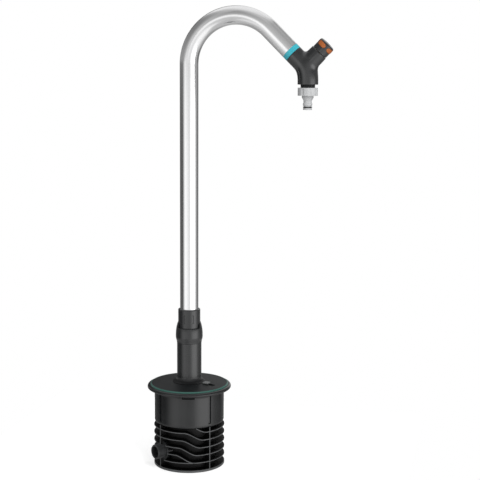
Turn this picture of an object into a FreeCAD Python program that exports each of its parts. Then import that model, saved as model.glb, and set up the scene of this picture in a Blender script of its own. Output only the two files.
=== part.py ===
"""Garden tap on a plug-in column, standing in a buried ground box.

Millimetres and degrees. The origin is the centre of the box's underside, +Z is up, and the
spout reaches out along +X. Angles about the column are counted from +X towards +Y.
"""
import FreeCAD, Part
import math
import os

V = FreeCAD.Vector
CENTRE = V(0, 0, 0)
UP = V(0, 0, 1)
SIDE = V(0, 1, 0)

# Clearances
fit_gap = 0.1              # between pieces that slide together once and stay
running_gap = 0.06         # round a shaft that turns
slide_gap = 0.3            # round a piece that slides
o_ring_gap = 0.05          # each side of an O-ring's cord

# Ground box
box_height = 148.6
floor_thickness = 4.3
floor_edge = 0.8
base_radius = 64.5         # foot, fins and ribs
shell_radius = 63.4
shell_wall = 4.0
core_radius = 50.0
core_wall = 3.0
shelf_thickness = 3.0
shelf_clearance = 7.0      # above the top ring of fins
shell_rounding = 4.0

# Fins: level rings that step down one pitch across the front
ring_count = 5
ring_pitch = 13.8
first_ring = 18.0
fin_thickness = 1.6
step_span = 32.0
step_slices = 13
first_step = -83.0
step_shift = 5.3           # each step lies this far round from the one below it
rib_count = 4
first_rib = -40.0
rib_thickness = 1.6
groove_width = 6.2
groove_depth = 2.2
snap_angle = -76.5
snap_width = 22.0
snap_height = 7.0
snap_drop = 6.1            # from the rim's top to the slot's top

# Rim and lid
rim_overhang = 12.7
rim_lip = 4.2
rim_flare = 7.5            # height of the flare under the lip
lid_radius = 71.0
lid_dome = 4.6
lid_thickness = 3.0
lid_edge = 2.1
lid_seat_drop = 2.4
ring_width = 2.4
ring_height = 2.7
ring_seat = 2.0            # thickness of the ledge under the ring
ring_overlap = 0.4         # how far the ring lies over the box's rim
skirt_wall = 2.4
skirt_depth = 13.5
snap_reach = 1.8           # how far the snaps stand out of the skirt
snap_play = 1.0            # round the snap in its slot

# Water inlet
inlet_angle = -130.0
inlet_height = 33.0
inlet_reach = 76.0
inlet_thread_radius = 13.2
inlet_bore = 9.7
inlet_neck_bore = 8.0
inlet_neck_length = 20.0
inlet_thread_length = 16.0
collar_radius = 17.0
collar_thickness = 3.0
collar_room = 1.2          # cleared in the fins round the collar
boss_length = 13.0
boss_wall = 4.0
inlet_mouth = 0.8          # widening at the bore's mouth
lock_nut_flats = 33.0
lock_nut_thickness = 4.6
tail_radius = 10.0
tail_overlap = 8.0         # how far the tail stands in the socket's port

# Valve socket in the box
socket_radius = 17.0
socket_height = 92.0
socket_flange = 30.0
socket_flange_thickness = 4.0
socket_collar = 8.0        # wider band at the socket's top that centres the column
socket_funnel = 1.6        # lead-in for the riser's plug
chamber_radius = 11.0
chamber_floor = 20.0
stop_seat = 56.0
stop_seat_thickness = 4.0
stop_seat_hole = 7.0
port_wall = 2.0
port_length = 34.0
port_bore = 7.0
socket_screw_count = 4
socket_screw_pitch = 24.5
screw_radius = 1.8
screw_head_radius = 3.2
screw_head_height = 2.2
screw_bite = 2.6           # how deep the screws go into the floor

# Stop valve
plunger_radius = 9.8
plunger_thickness = 3.5
plunger_drop = 4.0         # the column holds the valve this far open
plunger_stem = 3.0
plunger_guide = 4.0        # stub inside the spring
crown_thickness = 1.6      # disc on the stem that the riser pushes down
crown_overlap = 1.5
stop_seal_thickness = 2.0
spring_wire = 1.1
spring_radius = 6.6
spring_turns = 5

# Column
column_radius = 22.25
column_wall = 3.0
column_rise = 73.3         # from the lid's top to the union nut
column_overlap = 3.1       # how far the column reaches down over the socket
foot_radius = 30.0
foot_height = 9.8
catch_depth = 1.8
catch_height = 3.4
catch_drop = 3.5           # from the lid's top to the catch groove
neck_step = 1.3
neck_height = 17.0
shelf_ring = 3.0

# Riser pipe that plugs into the socket
riser_lift = 2.0           # the riser's end stands this far above the valve seat
riser_radius = 11.0
riser_bore = 8.5
plug_radius = 12.9
plug_length = 26.0
flange_thickness = 3.0
gasket_thickness = 2.0

# Spout tube
tube_radius = 16.5
tube_wall = 1.5
tube_rise = 493.8
bend_radius = 84.5
bend_angle = 135.0
tube_tail = 50.7

# O-rings in the tube and the pipes
groove_floor = 1.6
groove_length = 2.8

# Union of column and tube
nut_height = 37.0
nut_radius = 24.5
nut_ledge = 6.5
nut_flat_width = 25.6
union_turn = 12.5          # the nut's flats and the sleeve's grooves are turned this far round
nut_flat_height = 9.1      # from the nut's top down to the ledge
clamp_height = 10.6
sleeve_radius = 20.05
sleeve_bury = 13.5
sleeve_rise = 24.5
grip_count = 8
grip_width = 2.0
grip_depth = 0.8
grip_length = 15.3
grip_drop = 9.3

# Tube ends
plug_bore = 9.0
tube_plug_length = 25.5
insert_length = 26.0
insert_nose = 12.6
insert_nose_radius = 13.0
outlet_ring_width = 8.7

# Valve body
arm_length = 36.3          # from the teal ring to the outlet's axis
left_bend = 46.5
branch_rise = 9.5          # the right branch starts this far above the left one
branch_angle = 45.0
branch_radius = 16.0
branch_end_radius = 15.5
branch_bend = 32.0
branch_length = 27.6
outlet_drop = 26.5
outlet_thread_radius = 13.05
outlet_thread_length = 14.4
thread_show = 5.4
outlet_bore = 8.5
outlet_bore_depth = 22.0   # top of the outlet's bore, below the right branch's start
waterway = 6.0
waterway_meet = 12.7       # where the branch's waterway meets the arm's, before its start
side_passage = 3.5
side_passage_depth = 3.9
collar_edge = 1.0
cone_share = 0.4           # share of the right branch that tapers
crotch_rounding = 5.0

# Valve cartridge, along the right branch
cartridge_radius = 11.9
cartridge_start = 2.9
cartridge_length = 24.0
cartridge_neck = 9.4
cartridge_neck_length = 13.0
cartridge_window = 6.0     # side ports that let the water out above the discs
window_length = 3.2
spindle_seal_setback = 4.0
spindle_groove = 1.7
seat_washer_thickness = 2.0
disc_radius = 7.5
disc_thickness = 3.0
port_rim = 1.6             # left standing at the centre and the edge of each disc
port_sweep = 80.0
spindle_radius = 3.5
spindle_foot = 0.6
spindle_length = 40.4
knob_screw_radius = 1.3
knob_screw_bite = 7.5

# Knob
knob_radius = 14.7
knob_gap = 0.5
knob_length = 19.4
knob_crown = 1.1
knob_wall = 2.0
knob_top = 3.6
hub_radius = 6.0
hub_length = 9.0
inlay_count = 4
inlay_span = 68.0
inlay_width = 7.8
inlay_setback = 6.5        # from the knob's end to the middle of the inlays
inlay_depth = 1.2
inlay_proud = 0.35
first_inlay = -25.0
cap_radius = 5.6
cap_thickness = 1.2

# Tap adapter
adapter_nut_radius = 17.4
adapter_nut_height = 13.7
adapter_shoulder = 10.2
adapter_bore = 5.0
nipple_radius = 7.9
nipple_collar = 8.15
nipple_neck = 7.2
nipple_neck_drop = 8.4     # all drops are from the nut's underside
shoulder_height = 5.2
nipple_collar_drop = 12.7
nipple_collar_height = 3.6
nipple_length = 24.3
nipple_o_ring_drop = 18.1
nipple_o_ring_proud = 0.2
washer_thickness = 2.0
adapter_grip_count = 8
adapter_grip_radius = 5.9  # of the hollows between the grip ribs
adapter_grip_depth = 0.9

# Latch in the lid
latch_angle = -18.0
latch_travel = 6.0
latch_width = 14.0
latch_plate = 2.4
latch_spring_room = 12.4   # between the latch's plate and the channel's end
latch_neck_width = 7.0
latch_neck_start = 33.0
latch_neck_length = 6.0
pad_start = 31.4
pad_length = 11.0
pad_width = 11.5
pad_height = 2.6
pad_rounding = 0.8
dish_overlap = 0.4         # the finger dish starts this far under the pad
dish_width = 10.3
dish_depth = 1.6
slot_margin = 2.3          # between the latch's channel and the lid's skirt
keeper_thickness = 2.2
keeper_hole = 0.65
keeper_bite = 3.0
screw_setback = 4.0
rail_width = 2.0
latch_spring_wire = 0.5
latch_spring_turns = 6

# Heights and places that follow from the sizes above
top_ring = first_ring + ring_pitch * (ring_count - 1)
shelf_bottom = top_ring + shelf_clearance
shelf_top = shelf_bottom + shelf_thickness
shell_inside = shell_radius - shell_wall
core_inside = core_radius - core_wall
fin_root = core_radius - core_wall / 2
boss_end = inlet_reach - inlet_thread_length - collar_thickness
boss_start = boss_end - boss_length
lid_seat = box_height - lid_seat_drop
lid_top = box_height + lid_dome
lid_side_top = box_height + lid_edge
snap_top = box_height - snap_drop
foot_top = lid_top + foot_height
column_top = lid_top + column_rise
column_inside = column_radius - column_wall
neck_radius = column_radius - neck_step
socket_bottom = floor_thickness
socket_top = socket_bottom + socket_height
column_bottom = socket_top - column_overlap
socket_bore = plug_radius + fit_gap
riser_bottom = stop_seat + stop_seat_thickness + riser_lift
riser_top = column_top
gasket_top = riser_top + gasket_thickness
tube_bottom = gasket_top + flange_thickness + 1.0
tube_inside = tube_radius - tube_wall
plug_fit = tube_inside - fit_gap
bend_height = tube_bottom + tube_rise
nut_top = column_top + nut_height
sleeve_bottom = nut_top - sleeve_bury
sleeve_top = nut_top + sleeve_rise
clamp_bottom = tube_bottom + 0.2
clamp_top = clamp_bottom + clamp_height
catch_top = lid_top - catch_drop
slot_reach = shell_inside - slide_gap - skirt_wall - slot_margin
latch_plate_reach = slot_reach - latch_spring_room
latch_spring_radius = latch_plate / 2
latch_bottom = catch_top - catch_height / 2 - latch_plate / 2
latch_top = latch_bottom + latch_plate
channel_start = foot_radius - 1.0
channel_end = slot_reach + rail_width
channel_half = latch_width / 2 + slide_gap + rail_width
channel_bottom = latch_bottom - slide_gap


def tail_place(distance):
    """The frame on the straight end of the spout, with its own +Z running downstream."""
    turn = math.radians(bend_angle)
    end = V(bend_radius * (1 - math.cos(turn)), 0, bend_height + bend_radius * math.sin(turn))
    along = V(math.sin(turn), 0, math.cos(turn))
    return FreeCAD.Placement(end + along * distance, FreeCAD.Rotation(SIDE, bend_angle))


body_start = tube_tail + outlet_ring_width
crossing = tail_place(body_start + arm_length).Base
outlet_x = crossing.x
branch_base = V(outlet_x, 0, crossing.z + branch_rise)
branch_place = FreeCAD.Placement(branch_base, FreeCAD.Rotation(SIDE, branch_angle))
outlet_place = FreeCAD.Placement(V(outlet_x, 0, 0), FreeCAD.Rotation())
collar_bottom = crossing.z - outlet_drop
thread_bottom = collar_bottom - outlet_thread_length
adapter_top = collar_bottom - thread_show
adapter_under = adapter_top - adapter_nut_height
nipple_tip = adapter_under - nipple_length
nipple_ring_top = adapter_under - nipple_o_ring_drop
nipple_collar_top = adapter_under - nipple_collar_drop
nipple_collar_low = nipple_collar_top - nipple_collar_height
knob_start = branch_length + knob_gap
knob_end = knob_start + knob_length
inlet_place = FreeCAD.Placement(V(0, 0, inlet_height), FreeCAD.Rotation(UP, inlet_angle)).multiply(
    FreeCAD.Placement(CENTRE, FreeCAD.Rotation(SIDE, 90)))
latch_place = FreeCAD.Placement(CENTRE, FreeCAD.Rotation(UP, latch_angle))


def disc(radius, bottom, top, x=0.0, y=0.0):
    """An upright cylinder between two heights."""
    return Part.makeCylinder(radius, top - bottom, V(x, y, bottom))


def pipe(outer, inner, bottom, top):
    """An upright tube between two heights."""
    return disc(outer, bottom, top).cut(disc(inner, bottom - 1, top + 1))


def block(x0, x1, y0, y1, z0, z1):
    """A box between two corners."""
    return Part.makeBox(x1 - x0, y1 - y0, z1 - z0, V(x0, y0, z0))


def turned(outline, start=0.0, sweep=360.0):
    """A solid turned about Z from (radius, height) points. A pair of points is an arc's
    middle and end."""
    edges = []
    first = V(outline[0][0], 0, outline[0][1])
    here = first
    for step in outline[1:] + [outline[0]]:
        if isinstance(step[0], tuple):
            middle = V(step[0][0], 0, step[0][1])
            there = V(step[1][0], 0, step[1][1])
            edges.append(Part.Arc(here, middle, there).toShape())
        else:
            there = V(step[0], 0, step[1])
            edges.append(Part.LineSegment(here, there).toShape())
        here = there
    face = Part.Face(Part.Wire(edges))
    solid = face.revolve(CENTRE, UP, sweep)
    solid.rotate(CENTRE, UP, start)
    return solid


def placed(shape, place):
    """A copy of a shape carried from its own frame to its place."""
    copy = shape.copy()
    copy.Placement = place.multiply(copy.Placement)
    return copy


def spun(shape, angle):
    """A copy turned about the column's axis."""
    return placed(shape, FreeCAD.Placement(CENTRE, FreeCAD.Rotation(UP, angle)))


def joined(shapes):
    """One solid from pieces that meet, joined in their order."""
    whole = shapes[0]
    for shape in shapes[1:]:
        whole = whole.fuse(shape)
    return whole.removeSplitter()


def o_ring(centre_radius, cord_radius, height):
    """An O-ring lying level at a height."""
    return Part.makeTorus(centre_radius, cord_radius, V(0, 0, height), UP)


def groove(radius, floor, middle, length):
    """The band that is cut away for an O-ring's groove."""
    return pipe(radius + 1, floor, middle - length / 2, middle + length / 2)


def helical_spring(coil_radius, wire_radius, length, turns):
    """A round wire wound round Z, made of arcs of a quarter turn that climb steadily."""
    quarters = turns * 4
    rise = (length - 2 * wire_radius) / quarters
    edges = []
    for quarter in range(quarters):
        points = []
        for part in (0.0, 0.5, 1.0):
            turn = math.radians(90 * (quarter + part))
            height = wire_radius + rise * (quarter + part)
            points.append(V(coil_radius * math.cos(turn), coil_radius * math.sin(turn), height))
        edges.append(Part.Arc(*points).toShape())
    path = Part.Wire(edges)
    start = path.Vertexes[0].Point
    slope = edges[0].tangentAt(edges[0].FirstParameter)
    section = Part.Wire(Part.makeCircle(wire_radius, start, slope))
    print("spring: gap between turns %.2f mm" % (rise * 4 - 2 * wire_radius))
    return path.makePipeShell([section], True, False)


def fin_ring(level, start, end):
    """One level stretch of the fins, from one angle to another."""
    low = level - fin_thickness / 2
    high = level + fin_thickness / 2
    outline = [(fin_root, low), (base_radius, low), (base_radius, high), (fin_root, high)]
    return turned(outline, start, end - start)


def fin_step(level, top, start, end):
    """The S-shaped stretch that comes down from one height to a level, lofted through slices."""
    slices = []
    for index in range(step_slices):
        part = index / (step_slices - 1)
        fall = part * part * (3 - 2 * part)
        height = top + (level - top) * fall
        turn = math.radians(start + (end - start) * part)
        out = V(math.cos(turn), math.sin(turn), 0)
        half = UP * (fin_thickness / 2)
        near = out * fin_root + UP * height
        far = out * base_radius + UP * height
        corners = [near - half, far - half, far + half, near + half, near - half]
        slices.append(Part.makePolygon(corners))
    return Part.makeLoft(slices, True, False)


def fins():
    """The rings and the steps between them: one ribbon that winds down to the lowest ring."""
    pieces = [fin_ring(first_ring, 0, 360)]
    for ring in range(ring_count):
        level = first_ring + ring_pitch * ring
        middle = first_step + step_shift * ring
        landing = level if ring > 0 else level + fin_thickness / 4
        pieces.append(fin_step(landing, level + ring_pitch, middle - step_span / 2,
                               middle + step_span / 2))
        if ring > 0:
            step_below = middle - step_shift
            pieces.append(fin_ring(level, middle + step_span / 2, step_below - step_span / 2 + 360))
    keep = disc(base_radius + 1, 0, shelf_bottom + shelf_thickness / 2)
    return [piece.common(keep).Solids[0] for piece in pieces]


def rib_angles():
    return [first_rib + 360.0 / rib_count * index for index in range(rib_count)]


def along_inlet(radius, start, end):
    """A cylinder on the inlet's axis between two distances from the column's axis."""
    return placed(disc(radius, start, end), inlet_place)


def shell_outline():
    """Half section of the shell, the shelf under it and the flared rim."""
    lip = box_height - rim_lip
    rim = shell_radius + rim_overhang
    seat_edge = lid_radius + fit_gap
    under = lip - rim_flare
    return [
        (core_inside, shelf_bottom), (shell_radius - shell_rounding, shelf_bottom),
        ((shell_radius - 0.3 * shell_rounding, shelf_bottom + 0.3 * shell_rounding),
         (shell_radius, shelf_bottom + shell_rounding)),
        (shell_radius, under),
        ((shell_radius + 1.3, under + 3.2), (shell_radius + 4.5, under + 4.5)),
        (rim - 3.0, lip - 2.2),
        ((rim - 0.6, lip - 1.2), (rim, lip + 0.4)),
        ((rim - 0.9, box_height - 1.6), (rim - 3.2, box_height - 0.2)),
        (seat_edge, box_height), (seat_edge, lid_seat), (shell_inside, lid_seat),
        (shell_inside, shelf_top), (core_inside, shelf_top)]


def snap_slot(low, high, width, inner, outer):
    """A straight-sided window across the wall at the snap's angle."""
    return spun(block(inner, outer, -width / 2, width / 2, low, high), snap_angle)


def ground_box():
    """The moulded box: floor, core, fins, ribs, shell and rim in one piece."""
    floor = turned([
        (0, 0), (base_radius - floor_edge, 0), (base_radius, floor_edge),
        (base_radius, floor_thickness), (0, floor_thickness)])
    core = pipe(core_radius, core_inside, floor_thickness - 1, shelf_bottom + 1)
    body = [floor, core, turned(shell_outline())]
    half = rib_thickness / 2
    for angle in rib_angles():
        rib = block(fin_root, base_radius, -half, half, floor_thickness - 1, shelf_bottom + 1)
        body.append(spun(rib, angle))
    box = joined(body + fins())
    boss_radius = inlet_thread_radius + boss_wall
    clear = along_inlet(collar_radius + collar_room, boss_end, inlet_reach)
    boss = along_inlet(boss_radius, boss_start, boss_end)
    hole = along_inlet(inlet_thread_radius + fit_gap, boss_start - boss_length, inlet_reach)
    box = box.cut(clear).fuse(boss).cut(hole)
    cuts = []
    for angle in rib_angles():
        slot = block(shell_radius - groove_depth, shell_radius + 1, -groove_width / 2,
                     groove_width / 2, shelf_top + shell_rounding, snap_top + 1)
        cuts.append(spun(slot, angle))
    for turn in (0, 180):
        window = snap_slot(snap_top - snap_height, snap_top, snap_width,
                           shell_inside - 1, shell_radius + 1)
        cuts.append(spun(window, turn))
    for x, y in screw_places():
        cuts.append(disc(screw_radius + fit_gap / 2, floor_thickness - screw_bite - 0.2,
                         floor_thickness + 1, x, y))
    return box.cut(cuts).removeSplitter()


def screw_places():
    """Centres of the screws that hold the valve socket to the floor."""
    places = []
    for index in range(socket_screw_count):
        turn = math.radians(inlet_angle + 360.0 / socket_screw_count * (index + 0.5))
        places.append((socket_screw_pitch * math.cos(turn), socket_screw_pitch * math.sin(turn)))
    return places


def lid_height(radius):
    """Height of the lid's slightly conical top at a radius."""
    share = (radius - foot_radius) / (lid_radius - ring_width - foot_radius)
    return lid_top + (lid_side_top - lid_top) * share


def lid():
    """The lid, with its snap skirt and the channel that guides the latch."""
    hole = column_radius + slide_gap
    edge = lid_radius - ring_width
    skirt = shell_inside - slide_gap
    skirt_inside = skirt - skirt_wall
    ledge = lid_seat + ring_seat
    plate = turned([
        (hole, lid_top - lid_thickness), (hole, lid_top), (foot_radius, lid_top),
        (edge, lid_side_top), (edge, ledge), (lid_radius, ledge), (lid_radius, lid_seat),
        (skirt, lid_seat), (skirt, lid_seat - skirt_depth), (skirt_inside, lid_seat - skirt_depth),
        (skirt_inside, lid_height(skirt_inside) - lid_thickness),
        (foot_radius, lid_top - lid_thickness)])
    snap = snap_slot(snap_top - snap_height + snap_play, snap_top - snap_play,
                     snap_width - 2 * snap_play, skirt - skirt_wall / 2, skirt + snap_reach)
    plate = plate.fuse([snap, spun(snap, 180)])
    half = latch_width / 2 + slide_gap
    channel = block(channel_start, channel_end, -channel_half, channel_half, channel_bottom,
                    lid_height(channel_end) - 0.5)
    plate = plate.fuse(placed(channel, latch_place))
    hollow = block(channel_start - 1, slot_reach, -half, half, channel_bottom - 1,
                   latch_top + slide_gap)
    slot_half = latch_neck_width / 2 + slide_gap
    slot_end = latch_neck_start + latch_neck_length + latch_travel + slide_gap
    slot = block(latch_neck_start - slide_gap, slot_end, -slot_half, slot_half, channel_bottom,
                 lid_top + 1)
    dish = block(pad_start + pad_length - dish_overlap, slot_reach - 1.0, -dish_width / 2,
                 dish_width / 2, lid_height(slot_reach) - dish_depth, lid_top + 1)
    cuts = [hollow, slot, dish]
    for x, y in keeper_screw_places():
        cuts.append(disc(keeper_hole, channel_bottom - 1, channel_bottom + keeper_bite + 0.2, x, y))
    return plate.cut([placed(cut, latch_place) for cut in cuts]).removeSplitter()


def keeper_screw_places():
    """Centres of the keeper's screws, in the rails on both sides of the channel."""
    rail = channel_half - rail_width / 2
    return [(x, y) for x in (channel_start + screw_setback, slot_reach - screw_setback + 1.0)
            for y in (-rail, rail)]


def lid_ring():
    """The teal trim ring round the lid."""
    outer = lid_radius + ring_overlap
    inner = lid_radius - ring_width + fit_gap
    low = lid_seat + ring_seat
    high = low + ring_height
    over_rim = box_height + fit_gap / 2
    return turned([(inner, low), (lid_radius, low), (lid_radius, over_rim), (outer, over_rim),
                   (inner + 0.9, high), (inner, high)])


def inlet_connector():
    """Male threaded inlet: tail, thread, collar and bore."""
    tail_start = port_length - tail_overlap
    body_begin = boss_start - lock_nut_thickness - 2.0
    mouth = inlet_bore + inlet_mouth
    shape = turned([
        (inlet_neck_bore, tail_start), (tail_radius, tail_start), (tail_radius, body_begin),
        (inlet_thread_radius, body_begin), (inlet_thread_radius, boss_end),
        (collar_radius, boss_end), (collar_radius, boss_end + collar_thickness),
        (inlet_thread_radius, boss_end + collar_thickness),
        (inlet_thread_radius, inlet_reach - 1.0), (inlet_thread_radius - 1.0, inlet_reach),
        (mouth, inlet_reach), (inlet_bore, inlet_reach - 1.2),
        (inlet_bore, tail_start + inlet_neck_length + 2.0),
        (inlet_neck_bore, tail_start + inlet_neck_length)])
    middle = tail_start + tail_overlap / 2
    shape = shape.cut(groove(tail_radius, tail_radius - groove_floor, middle, groove_length))
    return placed(shape, inlet_place)


def inlet_o_ring():
    """Seal between the inlet's tail and the socket's port."""
    middle = port_length - tail_overlap / 2
    room = groove_floor + fit_gap
    ring = o_ring(tail_radius + fit_gap - room / 2, room / 2 - o_ring_gap, middle)
    return placed(ring, inlet_place)


def hexagon(flats, bottom, top):
    """A hexagonal prism about Z."""
    corner = flats / math.sqrt(3)
    points = []
    for index in range(7):
        turn = math.radians(60 * index)
        points.append(V(corner * math.cos(turn), corner * math.sin(turn), bottom))
    return Part.Face(Part.makePolygon(points)).extrude(UP * (top - bottom))


def inlet_lock_nut():
    """Thin nut that clamps the inlet from inside the box."""
    start = boss_start - lock_nut_thickness
    nut = hexagon(lock_nut_flats, start, boss_start)
    nut = nut.cut(disc(inlet_thread_radius + fit_gap / 2, start - 1, boss_start + 1))
    return placed(nut, inlet_place)


def valve_socket():
    """Upright socket: flange, stop-valve chamber, seat and the bore for the riser."""
    top_radius = column_inside - slide_gap
    seat_top = stop_seat + stop_seat_thickness
    cap_start = socket_top - socket_collar
    outer = turned([
        (0, socket_bottom), (socket_flange, socket_bottom),
        (socket_flange, socket_bottom + socket_flange_thickness),
        (socket_radius, socket_bottom + socket_flange_thickness),
        (socket_radius, cap_start), (top_radius, cap_start + 2.0), (top_radius, socket_top),
        (0, socket_top)])
    port = along_inlet(tail_radius + fit_gap + port_wall, 0, port_length)
    inside = turned([
        (0, chamber_floor), (chamber_radius, chamber_floor), (chamber_radius, stop_seat),
        (stop_seat_hole, stop_seat), (stop_seat_hole, seat_top), (socket_bore, seat_top),
        (socket_bore, socket_top - 1.5 * socket_funnel), (socket_bore + socket_funnel, socket_top),
        (socket_bore + socket_funnel, socket_top + 1), (0, socket_top + 1)])
    way_in = along_inlet(port_bore, 0, port_length)
    mouth = along_inlet(tail_radius + fit_gap, port_length - tail_overlap, port_length + 1)
    cuts = [inside, way_in, mouth]
    for x, y in screw_places():
        cuts.append(disc(screw_radius + fit_gap / 2, socket_bottom - 1,
                         socket_bottom + socket_flange_thickness + 1, x, y))
    return outer.fuse(port).cut(cuts).removeSplitter()


def socket_screws():
    """Pan-head screws through the socket's flange into the floor."""
    head_bottom = socket_bottom + socket_flange_thickness
    screw = turned([
        (0, floor_thickness - screw_bite), (screw_radius, floor_thickness - screw_bite),
        (screw_radius, head_bottom), (screw_head_radius, head_bottom),
        (screw_head_radius, head_bottom + screw_head_height - 0.6),
        (screw_head_radius - 0.8, head_bottom + screw_head_height),
        (0, head_bottom + screw_head_height)])
    return Part.makeCompound([placed(screw, FreeCAD.Placement(V(x, y, 0), FreeCAD.Rotation()))
                              for x, y in screw_places()])


def stop_plunger():
    """Plunger of the stop valve, held down by the riser's end."""
    seal_top = stop_seat - plunger_drop
    disc_top = seal_top - stop_seal_thickness
    disc_bottom = disc_top - plunger_thickness
    guide = spring_radius - spring_wire / 2 - slide_gap
    return turned([
        (0, disc_bottom - plunger_guide), (guide, disc_bottom - plunger_guide),
        (guide, disc_bottom), (plunger_radius, disc_bottom), (plunger_radius, disc_top),
        (plunger_stem, disc_top), (plunger_stem, riser_bottom - crown_thickness),
        (riser_bore + crown_overlap, riser_bottom - crown_thickness),
        (riser_bore + crown_overlap, riser_bottom), (0, riser_bottom)])


def stop_seal():
    """Rubber ring on the plunger that closes against the seat."""
    seal_top = stop_seat - plunger_drop
    return pipe(plunger_radius - 0.4, plunger_stem + fit_gap, seal_top - stop_seal_thickness,
                seal_top)


def stop_spring():
    """Spring under the plunger."""
    top = stop_seat - plunger_drop - stop_seal_thickness - plunger_thickness
    spring = helical_spring(spring_radius, spring_wire / 2, top - chamber_floor - fit_gap,
                            spring_turns)
    spring.translate(UP * (chamber_floor + fit_gap / 2))
    return spring


def column():
    """Casing of the column: flared foot, catch groove, shelf and neck for the union nut."""
    shelf = column_top - flange_thickness - shelf_ring
    neck_top = column_top + neck_height
    shape = turned([
        (column_inside, column_bottom), (column_radius - 1.0, column_bottom),
        (column_radius, column_bottom + 1.0), (column_radius, lid_top),
        (foot_radius, lid_top), (foot_radius, lid_top + 0.8),
        ((column_radius + 2.4, lid_top + 0.55 * foot_height), (column_radius, foot_top)),
        (column_radius, column_top), (neck_radius, column_top), (neck_radius, neck_top),
        (column_inside, neck_top), (column_inside, shelf + shelf_ring),
        (riser_radius + slide_gap, shelf + shelf_ring), (riser_radius + slide_gap, shelf),
        (column_inside, shelf - 2.0)])
    catch = pipe(column_radius + 1, column_radius - catch_depth, catch_top - catch_height,
                 catch_top)
    return shape.cut(catch)


def riser_pipe():
    """Water pipe in the column: plug at the bottom, flange at the top."""
    plug_top = riser_bottom + plug_length
    flange_radius = column_inside - slide_gap
    shape = turned([
        (riser_bore, riser_bottom), (plug_radius - 1.2, riser_bottom),
        (plug_radius, riser_bottom + 1.6), (plug_radius, plug_top),
        (riser_radius, plug_top + 2.0), (riser_radius, riser_top - flange_thickness),
        (flange_radius, riser_top - flange_thickness), (flange_radius, riser_top),
        (riser_bore, riser_top)])
    for middle in riser_grooves():
        shape = shape.cut(groove(plug_radius, plug_radius - groove_floor, middle, groove_length))
    return shape


def riser_grooves():
    return [riser_bottom + plug_length * share for share in (0.35, 0.7)]


def ring_in_groove(shaft, middle):
    """An O-ring between a shaft's groove and the bore that the shaft fits."""
    room = groove_floor + fit_gap
    return o_ring(shaft + fit_gap - room / 2, room / 2 - o_ring_gap, middle)


def riser_o_rings():
    return Part.makeCompound([ring_in_groove(plug_radius, middle) for middle in riser_grooves()])


def riser_gasket():
    """Flat seal between the riser's flange and the tube plug."""
    return pipe(column_inside - 1.2, riser_bore + 1.0, riser_top, gasket_top)


def tube_grooves():
    return [tube_bottom + tube_plug_length * share for share in (0.35, 0.75)]


def tube_plug():
    """Plug sealed in the tube's lower end, with the flange that the nut pulls down."""
    top = tube_bottom + tube_plug_length
    shape = turned([
        (plug_bore, gasket_top), (column_inside - slide_gap, gasket_top),
        (column_inside - slide_gap, tube_bottom), (plug_fit, tube_bottom), (plug_fit, top - 1.0),
        (plug_fit - 1.0, top), (plug_bore, top)])
    for middle in tube_grooves():
        shape = shape.cut(groove(plug_fit, plug_fit - groove_floor, middle, groove_length))
    return shape


def tube_o_rings():
    return Part.makeCompound([ring_in_groove(plug_fit, middle) for middle in tube_grooves()])


def clamp_ring():
    """Tapered split ring that the nut squeezes onto the tube."""
    inner = tube_radius + fit_gap
    outer = column_inside - slide_gap
    ring = turned([(inner, clamp_bottom), (outer, clamp_bottom), (outer, clamp_top - 3.4),
                   (inner + 0.8, clamp_top), (inner, clamp_top)])
    return ring.cut(block(-outer - 1, 0, -1.0, 1.0, clamp_bottom - 1, clamp_top + 1))


def union_nut():
    """Bulged nut on the column's neck, cut flat at the front and back down to a ledge."""
    bore = neck_radius + fit_gap
    ledge_bottom = sleeve_bottom - nut_ledge
    sleeve_hole = sleeve_radius + fit_gap
    nut = turned([
        (bore, column_top), (column_radius + 0.35, column_top),
        (column_radius + 0.7, column_top + 3.5),
        ((nut_radius - 0.35, column_top + 7.5), (nut_radius, column_top + 11.0)),
        (nut_radius, column_top + 17.0),
        ((nut_radius - 1.2, column_top + 27.0), (sleeve_radius + 0.75, nut_top)),
        (sleeve_hole, nut_top), (sleeve_hole, sleeve_bottom),
        (tube_radius + slide_gap, sleeve_bottom), (tube_radius + slide_gap, ledge_bottom + 1.5),
        (tube_radius + 1.6, ledge_bottom), (bore, ledge_bottom)])
    low = nut_top - nut_flat_height
    half = nut_flat_width / 2
    cut = block(-half, half, -nut_radius - 1, nut_radius + 1, low, nut_top + 1)
    cut = cut.cut(disc(sleeve_hole, low - 1, nut_top + 2))
    return nut.cut(spun(cut, union_turn))


def grip_sleeve():
    """Sleeve over the tube's lower end, with upright grip grooves."""
    inner = tube_radius + fit_gap
    sleeve = turned([
        (inner, sleeve_bottom), (sleeve_radius, sleeve_bottom), (sleeve_radius, sleeve_top - 1.6),
        ((sleeve_radius - 0.45, sleeve_top - 0.45), (sleeve_radius - 1.6, sleeve_top)),
        (inner, sleeve_top)])
    top = sleeve_top - grip_drop
    cuts = []
    for index in range(grip_count):
        slot = block(sleeve_radius - grip_depth, sleeve_radius + 1, -grip_width / 2,
                     grip_width / 2, top - grip_length, top)
        angle = union_turn + 180.0 / grip_count + 360.0 / grip_count * index
        cuts.append(spun(slot, angle))
    return sleeve.cut(cuts)


def spout_tube():
    """Aluminium tube: upright, round the bend and down the tail."""
    level = V(0, 0, bend_height)
    wall = [Part.Wire(Part.makeCircle(radius, level, UP)) for radius in (tube_radius, tube_inside)]
    section = Part.Face(wall)
    upright = pipe(tube_radius, tube_inside, tube_bottom, bend_height)
    bend = section.revolve(level + V(bend_radius, 0, 0), SIDE, bend_angle)
    tail = placed(pipe(tube_radius, tube_inside, 0, tube_tail), tail_place(0))
    return joined([upright, bend, tail])


def insert_grooves():
    return [tube_tail - insert_length * share for share in (0.72, 0.34)]


def nose_groove():
    return body_start + insert_nose * 0.55


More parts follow.
